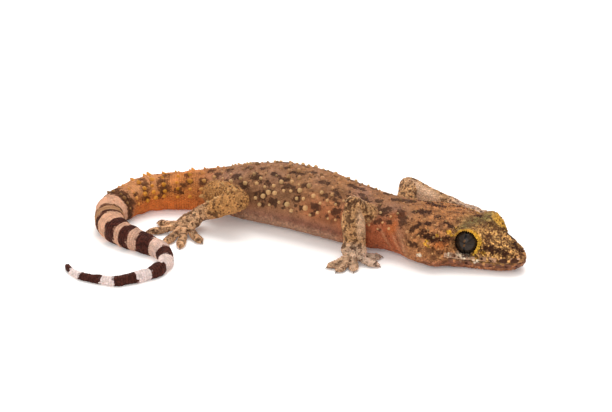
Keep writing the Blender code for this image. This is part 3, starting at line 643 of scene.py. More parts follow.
def strokes_on(points, marks):
    """A field of marks: 1 in the middle of a mark, 0 at its edge and down to -1 away from it."""
    field = np.full(len(points), -1.0)
    draw = np.random.default_rng(3)
    for mark in marks:
        radius = mark[2]
        for side in ((1, -1) if mark[1] < -12 else (1,)):
            slip = (0.0, 0.0) if side == 1 else (draw.uniform(-0.4, 0.4), draw.uniform(-4, 4))
            ends = [mark[:2], mark[3:] if len(mark) == 5 else (mark[0] - 0.5 * radius, mark[1])]
            a, b = (trunk_skin(end[0] + slip[0], end[1] * side + slip[1]) for end in ends)
            room = np.abs(a - b).max() / 2 + 2.2 * radius
            near = np.flatnonzero(np.abs(points - (a + b) / 2).max(1) < room)
            along = np.clip((points[near] - a) @ (b - a) / max((b - a) @ (b - a), 1e-6), 0, 1)
            away = np.linalg.norm(points[near] - a - along[:, None] * (b - a), axis=1)
            field[near] = np.maximum(field[near], 1 - away / radius)
    return field


def bands_on(arc, around):
    """The tail's dark bands, sharper than the marks, as the same kind of field."""
    field = np.full(len(arc), -1.0)
    for start, end in TAIL_BANDS:
        middle, half = (start + end) / 2, (end - start) / 2
        turn = np.radians(around)
        wander = 0.1 * np.sin(turn * 2 + middle * 3) + 0.07 * np.sin(turn * 5 + middle)
        soft = 0.8 * half if middle < 71 else 0.3
        band = np.clip((half - np.abs(arc + wander - middle)) / soft, -1, 1)
        field = np.maximum(field, np.where(arc > 62.5, band, -1))
    return field


# Zones of the trunk by smooth steps along it, of two limits or four, and by the angle away from the mid-back.
TRUNK_ZONES = {
    "flank": ((14, 22, 50, 60), (30, 72)), "belly": ((22, 28, 42, 50), (84, 104)),
    "chin": ((17, 14), (88, 108)), "tail_pale": ((63, 67),), "tail_white": ((72, 90),),
    "early_band": ((71, 67),), "head": ((18.5, 14.5),), "snout": ((8.0, 5.5),),
    "tip": ((1.5, 0.5), (105, 85)),
}
# How far the golden ring round the eye reaches, and where the painted shade of the hollow under the eye ends.
RING_REACH, RING_SOFT, UNDER_EYE_SHADE_REACH = 1.93, 0.12, (2.1, 1.95)
# How strongly toes are pale: palm, then the five toes of a hand; and the toes of a foot.
PALE_TOES, PALE_FOOT = np.array((0.75, 0.45, 0.45, 0.55, 1, 1)), 0.35


def describe_eyes(points, whitish):
    """The golden skin in front of and above the eyes, and painted shade in the gap round each eye and in the
    hollow under it.
    """
    gold, under_eye_shade, socket = np.zeros(len(points)), np.zeros(len(points)), 0
    for side in (-1, 1):
        away, depth, ring = from_eye(points, side)
        away = away / np.maximum(ring, 0.5)[:, None]
        ahead, up = away @ skull_forward(), away[:, 2]
        right, left = side < 0, side > 0
        reach = RING_REACH + 0.2 * np.clip(ahead, 0, 1) + 0.35 * left * ease(0.2, 0.8, up)
        over = (0.8 if right else 0.3) * ease(0.5, 0.8, up)
        part = np.maximum(ease(0.0, 0.45, ahead) * ease(-0.75, -0.45, up), over)
        by_eye = (depth > 0.2) * (depth < 3)
        ringed = ease(reach + RING_SOFT, reach - RING_SOFT, ring) * part * by_eye
        gold = np.maximum(gold, ringed * (1 if right else 0.7))
        under_eye_shade = np.maximum(under_eye_shade, ease(*UNDER_EYE_SHADE_REACH, ring) * ease(-0.6, -0.8, up) * by_eye)
        socket = socket + ease(1.7, 1.62, ring) * (depth > 0.8) * (depth < 3)
    return gold, 0.7 * under_eye_shade * (1 - gold) * (1 - whitish) + socket


def describe(points):
    """Everything that the finish and the scales need to know about places on the skin."""
    arc, around, gap = on_trunk(points)
    station, limb_gap = on_limbs(points)
    run, limb_of, toe = LIMB_PATHS[station, 4:].T
    hind = limb_of % 2
    limb = ease(-0.35, 0.35, gap - limb_gap)
    trunk = 1 - limb
    low, height = np.abs(around), points[:, 2]
    torso = between(19, 25, 44, 49, arc)
    tail = ease(46, 54, arc)
    base = ease(68, 60, arc)
    green_arc, green_width = 8.2 - 1.3 * ease(0, 20, around), 1.4 + 0.3 * ease(0, 20, around)
    under_eye = hump(7.3, 1.3, arc) * between(1.75, 1.95, 2.6, 3.0, height) * (low > 40)
    whitish = np.clip(2 * strokes_on(points, WHITE_SPOTS), 0, 1)
    whitish = np.maximum(whitish, 0.85 * under_eye * trunk)
    gold, socket = describe_eyes(points, whitish)
    in_ear = np.maximum(*(ease(0.85, 0.5, from_ear(points, side)) for side in (-1, 1)))
    lip = height - table_at(MOUTH_HEIGHT, arc)[:, 0]
    mouth = hump(0, 0.09, lip) * ease(MOUTH_END, MOUTH_END - 1, arc)
    folds = sum(neck_folds(arc, around, side, 0.38) for side in (-1, 1))
    top = ease(80, 45, low)
    knee = hump(5.6, 1.6, run) * limb
    # The inner side of the forearms is pale pink: partly its own colour, partly painted light that lifts the
    # shade in the far elbow's crease. On the near forearm the side facing ahead is made pale as well.
    towards_body = (LIMB_PATHS[station, 1] - points[:, 1]) * np.where(limb_of < 2, -1, 1)
    facing_ahead = np.where(limb_of == 0, points[:, 0] - LIMB_PATHS[station, 0], -1)
    inner_side = np.maximum(ease(-0.1, 0.9, towards_body),
                            0.6 * ease(0.1, 0.8, facing_ahead) * ease(6, 8, run))
    inner = limb * (1 - hind) * between(3.5, 6.5, 9.5, 12.5, run) * inner_side
    marks = np.maximum(strokes_on(points, (*BODY_MARKS, *DOTS, *HEAD_MARKS, *TAIL_BASE_MARKS)),
                       bands_on(arc, around))
    smudges = np.clip(strokes_on(points, SMUDGES) * 1.2, 0, 0.5)
    side_rows = ease(10, 46, low) * ease(17, 19, arc) + 0.4 * ease(18, 15, arc)
    specks = 0.36 * ease(7.5, 5, arc) + 0.1 * ease(17, 9, arc) + 0.02 * ease(60, 50, arc)
    limb_mottle = np.where(hind, 0.45 + 0.45 * ease(9, 12, run), 0.95 - 0.4 * ease(13, 15, run))
    on_trunk_only = {
        **{name: math.prod((between if len(limits) == 4 else ease)(*limits, values)
                           for limits, values in zip(steps, (arc, low)))
           for name, steps in TRUNK_ZONES.items()},
        "orange": np.clip(1.3 * strokes_on(points, ORANGE_PATCHES), 0, 1),
        "stains": np.maximum(np.clip(strokes_on(points, HEAD_STAINS) * 2.2, 0, 1), smudges),
        "rear": between(28.5, 34.5, 44, 49, arc) * ease(112, 80, low) * (0.4 + 0.6 * ease(30, 60, low)),
        "low_flank": hump(101, 9, low) * between(19, 24, 40, 46, arc) * (1 - 0.45 * ease(34, 38, arc)),
        "throat": ease(40, 78, low) * ease(27, 22, arc)
        * ease(17.6, 18.4, arc + FOLD_LEAN * (low - FOLD_MIDDLE)),
        "tail_base": tail * base,
        "tail_top": hump(60.5, 4.5, arc) * ease(80, 40, low),
        "tail_low": tail * base * ease(75, 100, low),
        "dusky": hump(76.5, 3.0, arc),
        "olive_band": hump(69.2, 0.85, arc),
        "green": hump(green_arc, green_width, arc) * ease(86, 55, low) * (1 - gold)
        * (1 - 0.6 * ease(-30, -60, around)),
        "fold": np.clip(folds, 0, 1),
        "lips": (low > 40) * ease(10.4, 10.0, arc) * between(-0.95, -0.8, 0.85, 0.98, lip),
    }
    return {
        **{name: trunk * values for name, values in on_trunk_only.items()},
        "marks": marks * trunk - limb - 1.5 * ease(86, 98, low) * between(17, 21, 50, 54, arc),
        "showy": np.maximum(trunk * side_rows, ease(50, 54, arc)) * ease(67, 61, arc) * trunk
        + 0.8 * limb * hind,
        "limb": limb,
        "inner": inner,
        "hind": limb * hind,
        "toe": limb * ease(-1.0, 1.8, run - 12.5) * np.where(hind, PALE_FOOT, PALE_TOES[toe.astype(int)]),
        "gold": np.maximum(trunk * gold, np.clip(2 * strokes_on(points, GOLD_SPOTS), 0, 1)),
        "whitish": whitish,
        # Painted shade: near black in the gap round the eyes, in the hollow under them, in the ear openings
        # and along the mouth line.
        "socket": np.maximum(np.maximum(socket, in_ear), 0.8 * mouth * (low > 40) * trunk),
        "mottle": np.clip(0.9 * ease(18, 15, arc) * (trunk - np.maximum(gold, whitish))
                          + 0.5 * torso * top * trunk + (limb - inner) * limb_mottle
                          + 0.5 * tail * ease(64, 60, arc) * top * trunk, 0, 1),
        "speckle": np.clip(trunk * specks * (1 - gold) * ease(98, 86, low)
                           + (limb - inner) * (0.09 + 0.3 * knee), 0, 1),
        "arc": arc,
        "around": around,
        "run": run,
    }


def lie_of(points, normals):
    """The way that scales point: tailwards on the trunk and towards the digits on a limb."""
    index, _ = nearest_on(FINE_ROUTE, points[:, :2])
    left = FINE_ROUTE_LEFT[index]
    back = np.column_stack([-left[:, 1], left[:, 0], np.zeros(len(points))])
    station, limb_gap = on_limbs(points)
    ahead = np.minimum(station + 1, len(LIMB_PATHS) - 1)
    down = unit(LIMB_PATHS[ahead, :3] - LIMB_PATHS[np.maximum(station - 1, 0), :3])
    limb = ease(-0.3, 0.3, on_trunk(points)[2] - limb_gap)[:, None]
    lie = back * (1 - limb) + down * limb
    return unit(lie - (lie * normals).sum(1)[:, None] * normals)


LONGEST_LIMB = 24


def atlas_at(points, facts):
    """An unwrap of the skin: the trunk is one strip, each limb another above it, and toes are short ones."""
    station, _ = on_limbs(points)
    limb, toe = LIMB_PATHS[station, 5], LIMB_PATHS[station, 6]
    middle = points - LIMB_PATHS[station, :3]
    turn = np.arctan2(middle[:, 1], middle[:, 2]) / (2 * np.pi) + 0.5
    strip = 0.62 + 0.09 * limb
    limb_v = strip + np.where(toe > 0, 0.016 * (toe - 1) + 0.012 * turn, 0.08 * turn)
    trunk_v = 0.01 + 0.58 * (facts["around"] + 180) / 360
    trunk = np.column_stack([0.01 + 0.98 * facts["arc"] / TAIL_END, trunk_v])
    limbs = np.column_stack([0.01 + 0.98 * facts["run"] / LONGEST_LIMB, limb_v])
    return np.where(facts["limb"][:, None] > 0.5, limbs, trunk)


def keep_facts(mesh, facts, vectors):
    """Stores facts as named attributes of a mesh's points."""
    for name, values in facts.items():
        mesh.attributes.new(name, "FLOAT", "POINT").data.foreach_set("value", np.asarray(values, np.float32))
    for name, values in vectors.items():
        values = np.asarray(values, np.float32)
        mesh.attributes.new(name, "FLOAT_VECTOR", "POINT").data.foreach_set("vector", values.ravel())


LIMB_SCALES_FROM = 0.25
points, normals = read_points(skin.data), read_normals(skin.data)
facts = describe(points)
atlas = atlas_at(points, facts)
arc, low, trunk = facts["arc"], np.abs(facts["around"]), 1 - facts["limb"]
on_body = trunk * ease(16.0, 17.0, arc) * ease(53.0, 50.0, arc) * ease(112, 100, low)
on_head = ease(18.5, 16.0, arc) * trunk * (1 - facts["socket"]) * (1 - facts["lips"])
COAT_ZONES = {
    "on_snout": on_head * ease(7.2, 6.2, arc),
    "on_crown": on_head * ease(6.2, 7.2, arc) * ease(17.0, 16.0, arc),
    "on_right": on_body * (facts["around"] <= 0),
    "on_left": on_body * (facts["around"] > 0),
    "on_belly": trunk * ease(13.0, 15.0, arc) * ease(53.0, 50.0, arc) * ease(100, 112, low),
    "on_limbs": facts["limb"] * (points[:, 2] > LIMB_SCALES_FROM),
}
keep_facts(skin.data, {**facts, **COAT_ZONES}, {
    "lie": lie_of(points, normals), "atlas": np.column_stack([atlas, np.zeros(len(atlas))])})


def fill(tree, node, inputs):
    """Sets a node's inputs to values, or links them to other nodes' outputs."""
    for key, value in inputs.items():
        if isinstance(value, bpy.types.NodeSocket):
            tree.links.new(value, node.inputs[key])
        else:
            node.inputs[key].default_value = value


def add(tree, kind, settings=None, inputs=None):
    """Adds a node: settings are its own properties, inputs are values or other nodes' outputs."""
    made = tree.nodes.new(kind)
    for key, value in (settings or {}).items():
        setattr(made, key, value)
    fill(tree, made, inputs or {})
    return made


def maths(tree, operation, *inputs):
    """The output of a maths node."""
    return add(tree, "ShaderNodeMath", {"operation": operation}, dict(enumerate(inputs))).outputs[0]


def colour(hexa):
    """An sRGB hex value as linear red, green, blue and alpha."""
    parts = [int(hexa[k:k + 2], 16) / 255 for k in (0, 2, 4)]
    return (*(p / 12.92 if p <= 0.04045 else ((p + 0.055) / 1.055) ** 2.4 for p in parts), 1.0)


class Finish:
    """A new material with short ways to add its nodes; each method returns a node's output."""

    def __init__(self, name):
        self.material = bpy.data.materials.new(name)
        self.material.use_nodes = True
        self.tree = self.material.node_tree

    def fact(self, key):
        return add(self.tree, "ShaderNodeAttribute", {"attribute_name": key}).outputs["Fac"]

    def place(self):
        return add(self.tree, "ShaderNodeTexCoord").outputs["Object"]

    def noise(self, where, size, detail=3.0):
        """Noise on Object coordinates, in metres, whose features are so many millimetres across."""
        return add(self.tree, "ShaderNodeTexNoise", None, {
            "Vector": where, "Scale": 1 / (size * MM), "Detail": detail}).outputs["Fac"]

    def maths(self, operation, *inputs):
        return maths(self.tree, operation, *inputs)

    def times(self, first, second):
        return self.maths("MULTIPLY", first, second)

    def times_add(self, first, second, third):
        return self.maths("MULTIPLY_ADD", first, second, third)

    def centred(self, value):
        return self.maths("SUBTRACT", value, 0.5)

    def step(self, low, high, value, to=1.0):
        return add(self.tree, "ShaderNodeMapRange", {"interpolation_type": "SMOOTHSTEP"}, {
            "Value": value, "From Min": low, "From Max": high, "To Max": to}).outputs[0]

    def mix(self, share, under, over, blend="MIX"):
        return add(self.tree, "ShaderNodeMix", {"data_type": "RGBA", "blend_type": blend}, {
            0: share, 6: under, 7: over}).outputs[2]

    def toned(self, hue, tone):
        """A colour made darker or lighter by a number."""
        grey = add(self.tree, "ShaderNodeCombineColor", None, {0: tone, 1: tone, 2: tone}).outputs[0]
        return self.mix(1.0, hue, grey, "MULTIPLY")

    def between_tones(self, value, dark, light, start=0.0, end=1.0):
        ramp = add(self.tree, "ShaderNodeValToRGB", None, {"Fac": value})
        for element, position, tone in zip(ramp.color_ramp.elements, (start, end), (dark, light)):
            element.position, element.color = position, colour(tone)
        return ramp.outputs["Color"]

    def surface(self, **inputs):
        """Sets the surface's inputs, whose names are written with underscores, and gives the material."""
        named = {key.replace("_", " "): value for key, value in inputs.items()}
        fill(self.tree, self.tree.nodes["Principled BSDF"], named)
        return self.material


# Thin reptile skin is slightly translucent, with a soft sheen. Each zone's colour is laid over the last.
SKIN_ZONES = (
    ("flank", "af6a42", 0.85), ("rear", "8c684a", 0.75), ("belly", "9c765f", 0.9),
    ("low_flank", "7c4937", 0.75), ("throat", "a85b3a", 0.9),
    ("tail_base", "bd733a", 1.0), ("tail_top", "c58d62", 0.7), ("tail_low", "cd6e33", 0.8),
    ("tail_pale", "d6a284", 1.0), ("tail_white", "dec8c2", 1.0), ("dusky", "b08770", 0.5),
    ("olive_band", "946839", 0.75), ("limb", "b08257", 1.0), ("hind", "b37d47", 0.8),
    # The inner zone's pale pink is partly painted light over the shade in the far elbow's crease.
    ("toe", "caab95", 0.9), ("inner", "dfb797", 0.9), ("head", "b07545", 0.85), ("snout", "d6a15f", 0.85),
    ("tip", "85583f", 0.6), ("chin", "985f46", 0.85),
    ("fold", "cb9068", 0.5), ("orange", "ad5c2a", 0.7), ("green", "6b6b40", 0.75), ("whitish", "e2cfb5", 0.9),
    ("gold", "cf9a30", 0.95), ("pale_plate", "ae8468", 0.9), ("mauve_plate", "744b3b", 0.9),
)
BACK_TAN, BACK_PINK = "9c6c47", "a1735a"
DARK_BACK, DARK_HEAD, DARK_TAIL, DARK_EARLY = "382015", "2c1208", "45221a", "58321b"
# The last colour on the next line is painted shade, near black, for the eye gaps, the hollows under the eyes,
# the ear openings and the mouth line.
STAIN, STAIN_LIMB, SPECK, RECESS_SHADE_DARK = "553320", "41291a", "3c1b0c", "100b08"
SHEEN, GLOW, GLOW_DEPTH, RELIEF_DEPTH = 0.07, 0.12, 0.6 * MM, 0.05 * MM
PALE_TONES, PALE_SHARE = ("d0a873", "cf8d2c", "d0982e"), 0.65


def hide_finish(name, shade, roughness, relief, scale_cells=None, pale_tops=False):
    """A reptile skin finish. Loose scales carry their own random values, and bare skin has cells for them."""
    made = Finish(name)
    where = made.place()
    fact, maths, times, times_add, mix, step = (
        made.fact, made.maths, made.times, made.times_add, made.mix, made.step)

    def noise(size, detail=3.0):
        return made.noise(where, size, detail)

    def swing(value, reach, base):
        """A base that a value of 0 to 1 moves up and down."""
        return times_add(made.centred(value), reach, base)

    if scale_cells:
        cells = add(made.tree, "ShaderNodeTexVoronoi", None, {
            "Vector": where, "Scale": 1 / (scale_cells * MM)})
        split = add(made.tree, "ShaderNodeSeparateColor", None, {"Color": cells.outputs["Color"]})
        first, second = split.outputs[0], split.outputs[1]
    else:
        first, second = fact("first_draw"), fact("second_draw")
    patchy, ragged_edge, fine = noise(0.75, 4.0), noise(0.45), noise(0.3, 2.0)

    # Ground colour: zones over tan and pink, then a tone for each scale and patch.
    hue = mix(step(0.35, 0.65, noise(5.0)), colour(BACK_TAN), colour(BACK_PINK))
    for key, tone, strength in SKIN_ZONES:
        hue = mix(times(fact(key), strength), hue, colour(tone))
    tone = swing(first, times_add(fact("snout"), 0.45, 0.28), shade)
    tone = swing(noise(1.3), 0.9, tone)
    tone = times_add(step(0.52, 0.64, noise(0.6)), times(fact("mottle"), 0.6), tone)
    hue = made.toned(hue, tone)

    # Stains, a net of thin brown veins on the head, and specks of single scales.
    on_limb_or_head = maths("MAXIMUM", fact("limb"), fact("head"))
    stain = times(step(0.54, 0.61, times_add(on_limb_or_head, 0.04, patchy)), fact("mottle"))
    stain = maths("MAXIMUM", stain, times(fact("stains"), step(0.25, 0.55, patchy, 1.1)))
    vein = step(0.035, 0.0, maths("ABSOLUTE", made.centred(noise(1.1))), 0.7)
    stain = maths("MAXIMUM", stain, times(vein, maths("SUBTRACT", fact("head"), fact("snout"))))
    stain_hue = mix(fact("limb"), colour(STAIN), colour(STAIN_LIMB))
    hue = mix(times(stain, times_add(fact("limb"), 0.08, 0.75)), hue, stain_hue)
    hue = mix(times(maths("LESS_THAN", second, fact("speckle")), 0.78), hue, colour(SPECK))

    # Dark marks and bands, with ragged edges, less so on the rear half of the tail.
    dark = mix(fact("head"), colour(DARK_BACK), colour(DARK_HEAD))
    dark = mix(fact("tail_base"), dark, colour(DARK_EARLY))
    dark = mix(fact("tail_pale"), dark, mix(fact("early_band"), colour(DARK_TAIL), colour(DARK_EARLY)))
    dark = made.toned(dark, times_add(first, 0.9, 0.55))
    early = times(fact("tail_pale"), fact("early_band"))
    late = times(fact("tail_pale"), times_add(fact("early_band"), -1.0, 1.0))
    edge = swing(patchy, 1.6, made.centred(fine))
    edge = swing(ragged_edge, 2.2, edge)
    edge = swing(first, times_add(fact("snout"), 0.5, times_add(fact("head"), 0.75, 0.3)), edge)
    edge = times_add(edge, times_add(late, -0.8, 1.0), times_add(early, -0.25, fact("marks")))
    strength = times_add(fact("head"), 0.1, 0.78 if scale_cells else 0.85)
    strength = maths("MINIMUM", times_add(fact("tail_pale"), 0.4, strength), 1.0)
    strength = times_add(early, -0.1, strength)
    hue = mix(times(step(-0.1, 0.34, edge), strength), hue, dark)

    # Tubercles are cream on back and flanks, yellow on the tail base and golden on the head.
    if pale_tops:
        cream, yellow, golden = (colour(tone) for tone in PALE_TONES)
        pale = mix(fact("gold"), mix(fact("tail_base"), cream, yellow), golden)
        hue = mix(times(times_add(fact("showy"), 0.75, 0.25), PALE_SHARE), hue, pale)
    # Painted shade: near black in the gap round the eyes, in the hollow under them, in the ear openings and
    # along the mouth line.
    hue = mix(fact("socket"), hue, colour(RECESS_SHADE_DARK))
    height = maths("ADD", times(fine, 0.6), noise(0.09, 2.0))
    if scale_cells:
        height = maths("ADD", height, times(maths("SUBTRACT", 1.0, cells.outputs["Distance"]), 1.6))
    bump = add(made.tree, "ShaderNodeBump", None, {
        "Height": height, "Strength": relief, "Distance": RELIEF_DEPTH})
    return made.surface(
        Base_Color=hue, Roughness=roughness, Specular_IOR_Level=SHEEN, Subsurface_Weight=GLOW,
        Subsurface_Radius=(1.0, 0.35, 0.2), Subsurface_Scale=GLOW_DEPTH, Normal=bump.outputs[0])


def settle(obj, material, *nodes, slot="skin"):
    """Turns a finished piece to metres, smooths its shading, and sets it on the animal's body."""
    if material:
        obj.data.materials.clear()
        obj.data.materials.append(material)
    obj.data.transform(Matrix.Scale(MM, 4))
    obj.data.shade_smooth()
    obj.data.update()
    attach(obj, "root")
    if nodes:
        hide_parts(*nodes)


skin_tree = BVHTree.FromObject(skin, bpy.context.evaluated_depsgraph_get())

# Small scales: thousands of low pebbles, finer on the body than on the snout. Geometry Nodes scatter them over
# the skin, each turned to the lie of the scales and sunk a little into it.
DRAWN_SIZE_SPREAD = 0.22
CROWDING = 2.5
PATCH_SIZE = 0.003


def knob(name, sides, profile, lean=0.0):
    """A closed knob of radius 1 from rings of radius and height, leaning back along X as it rises."""
    angle = 2 * np.pi * (np.arange(sides) + 0.5) / sides
    rings = np.array([
        np.column_stack([np.cos(angle) * radius + lean * max(height, 0.0), np.sin(angle) * radius,
                         np.full(sides, height)])
        for radius, height in profile])
    obj = joined(name, [closed_loft(rings)])
    obj.data.shade_smooth()
    keep_facts(obj.data, {}, {"patch": read_points(obj.data) * (0.5, 0.5, 0.0)})
    obj.hide_render = True
    return obj


def coat_tree(name, scattered):
    """Sets a knob on every point of a mesh, or scatters them over it, and gives each its own patch."""
    tree = bpy.data.node_groups.new(name, "GeometryNodeTree")
    tree.interface.new_socket("Geometry", in_out="OUTPUT", socket_type="NodeSocketGeometry")
    for title, kind in (
        ("Ground", "Object"), ("Knob", "Object"), ("Zone", "String"), ("Spacing", "Float"), ("Size", "Float"),
        ("Height", "Float"), ("Finish", "Material"), ("Seed", "Int"),
    ):
        tree.interface.new_socket(title, in_out="INPUT", socket_type="NodeSocket" + kind)
    given = add(tree, "NodeGroupInput").outputs
    ground, shape = (
        add(tree, "GeometryNodeObjectInfo", None, {"Object": given[title]}).outputs["Geometry"]
        for title in ("Ground", "Knob"))

    def field(title, kind="FLOAT_VECTOR"):
        return add(tree, "GeometryNodeInputNamedAttribute", {"data_type": kind}, {
            "Name": title}).outputs["Attribute"]

    def draw(seed, low=0.0, high=1.0):
        return add(tree, "FunctionNodeRandomValue", {"data_type": "FLOAT"}, {
            2: low, 3: high, "Seed": seed}).outputs[1]

    def vectors(operation, first, inputs):
        return add(tree, "ShaderNodeVectorMath", {"operation": operation}, {0: first, **inputs}).outputs[0]

    if scattered:
        density = maths(tree, "DIVIDE", maths(tree, "DIVIDE", CROWDING, given["Spacing"]), given["Spacing"])
        spread = add(tree, "GeometryNodeDistributePointsOnFaces", {"distribute_method": "POISSON"}, {
            "Mesh": ground, "Distance Min": given["Spacing"], "Density Max": density,
            "Density Factor": field(given["Zone"], "FLOAT"), "Seed": given["Seed"]})
        points, normal = spread.outputs["Points"], spread.outputs["Normal"]
    else:
        points, normal = ground, field("outward")
    upright = add(tree, "FunctionNodeAlignRotationToVector", {"axis": "Z"}, {"Vector": normal}).outputs[0]
    turned = add(tree, "FunctionNodeAlignRotationToVector", {"axis": "X", "pivot_axis": "Z"}, {
        "Rotation": upright, "Vector": field("lie")}).outputs[0]
    chance = draw(given["Seed"], 1 - DRAWN_SIZE_SPREAD, 1 + DRAWN_SIZE_SPREAD)
    width, rise = (maths(tree, "MULTIPLY", chance, given[title]) for title in ("Size", "Height"))
    size = add(tree, "ShaderNodeCombineXYZ", None, {0: width, 1: width, 2: rise}).outputs[0]
    if not scattered:
        size = vectors("MULTIPLY", size, {1: field("stature")})
    placed = add(tree, "GeometryNodeInstanceOnPoints", None, {
        "Points": points, "Instance": shape, "Rotation": turned, "Scale": size}).outputs[0]
    for title, shift in (("first_draw", 11), ("second_draw", 23)):
        drawn = draw(maths(tree, "ADD", given["Seed"], shift))
        placed = add(tree, "GeometryNodeStoreNamedAttribute", {"data_type": "FLOAT", "domain": "INSTANCE"}, {
            "Geometry": placed, "Name": title, "Value": drawn}).outputs[0]
    real = add(tree, "GeometryNodeRealizeInstances", None, {"Geometry": placed}).outputs[0]
    spot = vectors("ADD", vectors("SCALE", field("patch"), {"Scale": PATCH_SIZE}), {1: field("atlas")})
    mapped = add(tree, "GeometryNodeStoreNamedAttribute", {"data_type": "FLOAT2", "domain": "CORNER"}, {
        "Geometry": real, "Name": "OFBake", "Value": spot}).outputs[0]
    painted = add(tree, "GeometryNodeSetMaterial", None, {
        "Geometry": mapped, "Material": given["Finish"]}).outputs[0]
    add(tree, "NodeGroupOutput", None, {"Geometry": painted})
    return tree


def coat(name, tree, **values):
    """Runs a coat tree and keeps its result as a plain mesh piece."""
    obj = mesh_object(name, np.zeros((1, 3)), [])
    grow = obj.modifiers.new("Grow", "NODES")
    grow.node_group = tree
    for item in tree.interface.items_tree:
        if item.name in values:
            grow[item.identifier] = values[item.name]
    take_result(obj)
    for title in ("patch", "atlas", "lie"):
        if title in obj.data.attributes:
            obj.data.attributes.remove(obj.data.attributes[title])
    print(name, sum(len(face.vertices) - 2 for face in obj.data.polygons), "triangles")
    settle(obj, None)


SCATTER, PLANT = coat_tree("Scatter scales", True), coat_tree("Plant scales", False)
pebble = knob("pebble", 5, ((1.0, -0.5), (0.96, 0.05), (0.5, 0.8)))
shingle = knob("shingle", 6, ((0.95, -0.5), (1.0, 0.1), (0.55, 0.75)), lean=0.5)
# Granular scales are dry keratin, duller than the skin between them.
granule_finish = hide_finish("dry_granular_scale", 1.05, 0.45, 0.25)
for name, zone, spacing, size, height, shape, seed in (
    ("snout_scales", "on_snout", 0.27, 0.155, 0.13, pebble, 5),
    ("crown_scales", "on_crown", 0.22, 0.127, 0.09, pebble, 6),
    ("right_scales", "on_right", 0.19, 0.112, 0.07, pebble, 7),
    ("left_scales", "on_left", 0.19, 0.112, 0.07, pebble, 10),
    ("belly_scales", "on_belly", 0.36, 0.25, 0.08, shingle, 8),
    ("limb_scales", "on_limbs", 0.25, 0.152, 0.08, shingle, 9),
):
    coat(name, SCATTER, Finish=granule_finish, Ground=skin, Knob=shape, Zone=zone, Spacing=spacing, Size=size,
         Height=height, Seed=seed)

# Tubercles: smooth yellowish domes in rows along back and flanks, and pointed ones in rings on the tail base.
BACK_ROWS = ((6, 1.0), (21, 0.92), (35, 0.98), (48, 1.05), (60, 1.12), (71, 1.2), (81, 1.0))
BACK_START, BACK_END, BACK_STEP, BACK_GAP = 17.2, 49.0, 1.8, 0.95
HEAD_ROWS = (8, 20, 32, 44, 55, 66, 77, 88)
HEAD_START, HEAD_STEP, HEAD_STATURE = 9.8, 1.25, 0.52
LIMB_ROOM = 0.25


class Places:
    """Places for single scales: points near the skin, each with its size along, across and out."""

    def __init__(self):
        self.spots, self.statures = [], []

    def put(self, spot, along, across=None, out=None):
        self.spots.append(spot)
        self.statures.append((along, along if across is None else across, along if out is None else out))

    def plant(self, name, shape, size, height, seed, finish, keep=slice(None)):
        """Moves the places onto the skin and sets a knob on each of them."""
        snapped = [skin_tree.find_nearest(Vector(point)) for point in np.array(self.spots)[keep]]
        points, normals = (np.array([hit[k] for hit in snapped]) for k in (0, 1))
        ground = mesh_object(name + "_places", points, [])
        facts = describe(points)
        keep_facts(ground.data, facts, {
            "lie": lie_of(points, normals), "outward": normals, "stature": np.array(self.statures)[keep],
            "atlas": np.column_stack([atlas_at(points, facts), np.zeros(len(points))])})
        ground.hide_render = True
        coat(name, PLANT, Finish=finish, Ground=ground, Knob=shape, Size=size, Height=height, Seed=seed)


draw = np.random.default_rng(21)
rows = Places()
for side in (-1, 1):
    for k, (angle, size) in enumerate(BACK_ROWS):
        for arc in np.arange(BACK_START + BACK_STEP / 2 * (k % 2), BACK_END, BACK_STEP):
            shift = draw.uniform(-1, 1, 3)
            front = 0.62 + 0.38 * float(ease(24, 34, arc))
            rows.put(trunk_skin(arc + 0.6 * shift[0], side * (angle + 4.5 * shift[1])),
                     size * front * (1 + (0.3 if angle < 40 else 0.16) * shift[2]))
for side in (-1, 1):
    for k, angle in enumerate(HEAD_ROWS):
        for arc in np.arange(HEAD_START + 0.6 * (k % 2), BACK_START, HEAD_STEP):
            shift = draw.uniform(-1, 1, 3)
            rows.put(trunk_skin(arc + 0.4 * shift[0], side * (angle + 4.0 * shift[1])),
                     HEAD_STATURE * (1 + 0.3 * shift[2]))
spots = np.array(rows.spots)
clear = on_limbs(spots)[1] > LIMB_ROOM
for k in range(1, len(spots)):
    clear[k] &= np.linalg.norm(spots[:k][clear[:k]] - spots[k], axis=1).min(initial=9.0) > BACK_GAP
dome = knob("dome", 12, ((0.9, -0.5), (1.0, 0.0), (0.93, 0.35), (0.72, 0.72), (0.4, 0.95), (0.12, 1.03)),
            lean=0.12)
tubercle_finish = hide_finish("smooth_tubercle", 1.1, 0.36, 0.1, pale_tops=True)
rows.plant("back_tubercles", dome, 0.29, 0.36, 31, tubercle_finish, clear)

TAIL_START, TAIL_ROWS_END, TAIL_STEP = 50.4, 72.0, 2.05
rows = Places()
for arc in np.arange(TAIL_START, TAIL_ROWS_END, TAIL_STEP):
    for angle in (-88, -64, -40, -14, 14, 40, 64, 88):
        shift = draw.uniform(-1, 1, 3)
        large = float(ease(70, 60, arc))
        if large >= 0.5 or abs(angle) <= 50:
            rows.put(trunk_skin(arc + 0.25 * shift[0], angle + 4.0 * shift[1]),
                     (0.5 + 0.5 * large) * (1 + 0.15 * shift[2]))
for limb, (_, segments, _) in enumerate(limb_parts()):
    for segment in segments[:2]:
        for row in curve_through(segment, 8)[2:-2:2]:
            shift = draw.uniform(-1, 1, 3)
            if limb % 2:
                rows.put(row[:3] + (0.6 * shift[0], 0.6 * shift[1], 3.0), 0.7 * (1 + 0.2 * shift[2]))
thorn = knob("thorn", 10, ((0.9, -0.5), (1.0, 0.0), (0.78, 0.45), (0.46, 0.85), (0.16, 1.15)), lean=0.6)
rows.plant("tail_tubercles", thorn, 0.31, 0.38, 32, tubercle_finish)

